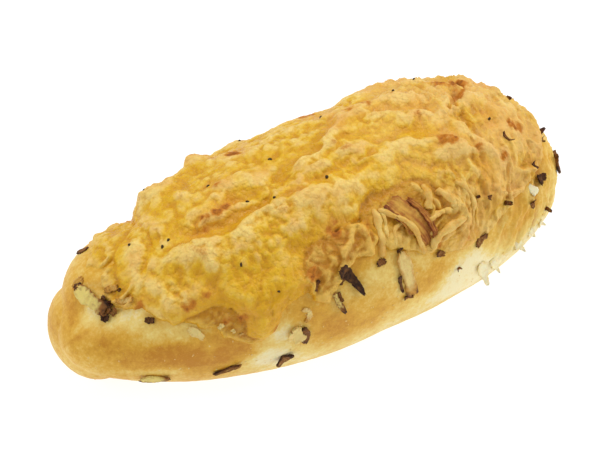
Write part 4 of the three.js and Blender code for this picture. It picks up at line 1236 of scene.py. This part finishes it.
# Station and angle of both ends, width and curl.
WISPS = (
    (49, -92, 56, -124, 5.0, 1.3), (55, -96, 61.5, -119, 3.8, 1.1), (68, -96, 73, -112, 4.4, 0.8),
    (75, -94, 79, -108, 4.0, 0.7), (81, -95, 86, -110, 4.0, 0.8),
)
SCRAP_FORM = {"steps": 14, "across": 7, "lift": -0.2, "torn": 0.4, "sides": (0.1, 0.2)}
WISP_FORM = {"steps": 24, "across": 9, "lift": -0.45, "torn": 0.35, "sides": (0.25, 0.2), "pointed": 0.85,
             "rooted": True}


def scrap(x, angle, length, turn, width, curl, burnt):
    """A short strip centred on a place, turned over the surface."""
    dx = length / 2 * math.cos(math.radians(turn))
    da = length / 2 * math.sin(math.radians(turn)) / MM_PER_DEGREE
    route = ((x - dx, angle - da), (x, angle), (x + dx, angle + da))
    return route, width, 0.6, curl, burnt, 0.2, 0.12, SCRAP_FORM


def wisp(x, angle, end_x, end_angle, width, curl):
    """A pointed flap that lies on the crust at its root and lifts off at its tip."""
    route = ((x, angle), ((x + end_x) / 2, (angle + end_angle) / 2), (end_x, end_angle))
    return route, width, 0.5, curl, 0.02, 0.0, 0.05, WISP_FORM


browned_finish = shred_finish("browned_onion", (0.66, 0.36, 0.065), (0.44, 0.16, 0.028), (0.20, 0.05, 0.014))
wisp_finish = shred_finish("wisp", (0.93, 0.83, 0.53), (0.84, 0.62, 0.20), (0.5, 0.26, 0.05))
for name, strips, finish, slot in (
    ("leek_scraps", [LEEK_TIP, *(scrap(*values) for values in LEEK_SCRAPS)], leek_finish, "leek"),
    ("onion_scraps", [ONION_RING, *(scrap(*values) for values in ONION_SCRAPS)], onion_finish, "onion"),
    ("browned_onions", BROWNED_ONIONS, browned_finish, "onion"),
    ("cheese_wisps", [scrap(*WHITE_SCRAP), *(wisp(*values) for values in WISPS)], wisp_finish, "cheese"),
):
    scraps = strips_object(name, strips)
    scraps.data.materials.append(finish)
    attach(scraps, "root")

# ---- Pepper and crumbs ----
# Coarse black pepper from the cheese mix, and specks of pale meal and crumb that stuck to the crust where
# it is bare.

# Station and angle of each grain of pepper.
PEPPER = (
    (-41, -33), (-33, -52), (-60, -2), (-57, 0), (-34, 19), (-27, -3), (-19, -10), (-10, 15), (50, 31),
    (1, -12), (-50, 44), (-6, 60), (38, 62), (64, 44), (20, 34), (72, -12), (-68, 14),
)
PEPPER_SIZE = 0.72
CRUMB_SIZE = 0.32
CRUMBS_PER_SQUARE_CM = 3.2


def scatter(recipe, points, turn, roundness, smallest, largest, roughness):
    """Ends a recipe with an uneven grain at each point, scaled at random and roughened."""
    grain = recipe.node("GeometryNodeMeshIcoSphere", {},
                        {"Radius": recipe.inputs["Grain"], "Subdivisions": roundness})
    size = recipe.node("FunctionNodeRandomValue", {"data_type": "FLOAT_VECTOR"},
                       {"Seed": recipe.inputs["Seed"], "Min": smallest, "Max": largest})
    placed = recipe.node("GeometryNodeInstanceOnPoints", {},
                         {"Points": points, "Instance": grain, "Rotation": turn, "Scale": size})
    real = recipe.node("GeometryNodeRealizeInstances", {}, {"Geometry": placed})
    recipe.close(recipe.roughened(real, *roughness))


def pepper_recipe():
    recipe = Recipe("pepper", {"Grain": "Float", "Seed": "Int"})
    turn = recipe.node("FunctionNodeRandomValue", {"data_type": "FLOAT_VECTOR"},
                       {"Seed": recipe.inputs["Seed"], "Max": (6.28, 6.28, 6.28)})
    scatter(recipe, recipe.inputs["Geometry"], turn, 2, (0.7, 0.7, 0.5), (1.3, 1.1, 0.8),
            (0.5 * MM, 0.5 * MM, 2.0))
    return recipe


def crumb_recipe():
    recipe = Recipe("crumbs", {"Grain": "Float", "Density": "Float", "Seed": "Int"})
    amount = recipe.node("ShaderNodeMath", {"operation": "MULTIPLY"},
                         {0: recipe.named("dusted"), 1: recipe.inputs["Density"]})
    spread = add_node(recipe.tree, "GeometryNodeDistributePointsOnFaces", {},
                      {"Mesh": recipe.inputs["Geometry"], "Density": amount, "Seed": recipe.inputs["Seed"]})
    scatter(recipe, spread.outputs["Points"], spread.outputs["Rotation"], 1, (0.5, 0.5, 0.2), (1.6, 1.6, 0.6),
            (0.6 * MM, 0.25 * MM, 5.0))
    return recipe


def grain_finish(name, colour, dark):
    finish = Finish(name)
    patch, grain = finish.mottle(1.0, 0.3)
    finish.surface(finish.mix(patch, colour, dark), finish.scaled(grain, 0.3, 0.45), 0.15)
    return finish.material


x, angle = np.array(PEPPER, float).T
pepper_places, _ = resting_places(x, angle)
pepper = mesh_object("pepper", pepper_places, [])
pepper_recipe().cook(pepper, {"Grain": PEPPER_SIZE * MM, "Seed": 4,
                              "Finish": grain_finish("pepper", (0.022, 0.014, 0.007), (0.11, 0.06, 0.02))})
crumbs = bread.copy()
crumbs.name = "crumbs"
crumbs.data = bread.data.copy()
bpy.context.scene.collection.objects.link(crumbs)
crumb_recipe().cook(crumbs, {"Grain": CRUMB_SIZE * MM, "Density": CRUMBS_PER_SQUARE_CM * 1e4, "Seed": 8,
                             "Finish": grain_finish("crumb", (0.85, 0.66, 0.30), (0.80, 0.52, 0.14))})
for piece, slot in ((pepper, "leek"), (crumbs, "crust")):
    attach(piece, "root")

# ---- Studio ----
# A white sweep under soft light from all round, strongest from the right front, as for a packshot. The
# camera looks down at 45 degrees from the near side, turned a third of a right angle to the left.

CAMERA_AZIMUTH = -30.9
CAMERA_ELEVATION = 45
CAMERA_DISTANCE = 820
CAMERA_LENS = 131.7
AIM = Vector((0, 0, 26))
AIM_LEFT = 3.65
AIM_UP = 5.35
# The floor, which glows a little so that it stays white, and the light from all round.
FLOOR_HALF = 3000
FLOOR_GLOW = 0.87
SKY_STRENGTH = 0.42
# Azimuth, elevation, distance, side and power of each soft box.
SOFT_BOXES = {
    "right_box": (60, 25, 900, 400, 2.6),
    "left_box": (-100, 35, 1000, 400, 2.4),
    "top_box": (150, 62, 1000, 450, 4.8),
}


def outward(azimuth, elevation):
    """The direction from the loaf for angles in degrees. Azimuth 0 is on the near side, 90 at the far end."""
    a, e = math.radians(azimuth), math.radians(elevation)
    return Vector((math.sin(a) * math.cos(e), -math.cos(a) * math.cos(e), math.sin(e)))


def make_camera():
    back = outward(CAMERA_AZIMUTH, CAMERA_ELEVATION)
    right = outward(CAMERA_AZIMUTH + 90, 0)
    up = back.cross(right)
    place = AIM + back * CAMERA_DISTANCE
    target = AIM - right * AIM_LEFT + up * AIM_UP
    data = bpy.data.cameras.new("camera")
    data.lens = CAMERA_LENS
    data.sensor_width = 36
    data.clip_start = 0.05
    camera = bpy.data.objects.new("camera", data)
    camera.location = place * MM
    camera.rotation_euler = (place - target).to_track_quat("Z", "Y").to_euler()
    bpy.context.scene.collection.objects.link(camera)
    bpy.context.scene.camera = camera


def make_floor():
    corners = [(FLOOR_HALF * x, FLOOR_HALF * y, 0) for x, y in ((-1, -1), (1, -1), (1, 1), (-1, 1))]
    floor = mesh_object("floor", corners, [(0, 1, 2, 3)])
    finish = Finish("floor")
    finish.surface((0.3, 0.3, 0.3, 1), 0.9, 0.0)
    finish.shader.inputs["Emission Color"].default_value = (1, 1, 1, 1)
    finish.shader.inputs["Emission Strength"].default_value = FLOOR_GLOW
    floor.data.materials.append(finish.material)


def make_light(name, azimuth, elevation, distance, size, power):
    """A square soft box that faces the loaf."""
    back = outward(azimuth, elevation)
    data = bpy.data.lights.new(name, "AREA")
    data.energy = power
    data.size = size * MM
    light = bpy.data.objects.new(name, data)
    light.location = (AIM + back * distance) * MM
    light.rotation_euler = back.to_track_quat("Z", "Y").to_euler()
    bpy.context.scene.collection.objects.link(light)


make_camera()
make_floor()
for name, settings in SOFT_BOXES.items():
    make_light(name, *settings)
world = bpy.data.worlds.new("studio")
bpy.context.scene.world = world
world.use_nodes = True
world.node_tree.nodes["Background"].inputs["Color"].default_value = (1, 1, 1, 1)
world.node_tree.nodes["Background"].inputs["Strength"].default_value = SKY_STRENGTH
bpy.context.scene.view_settings.view_transform = "Standard"
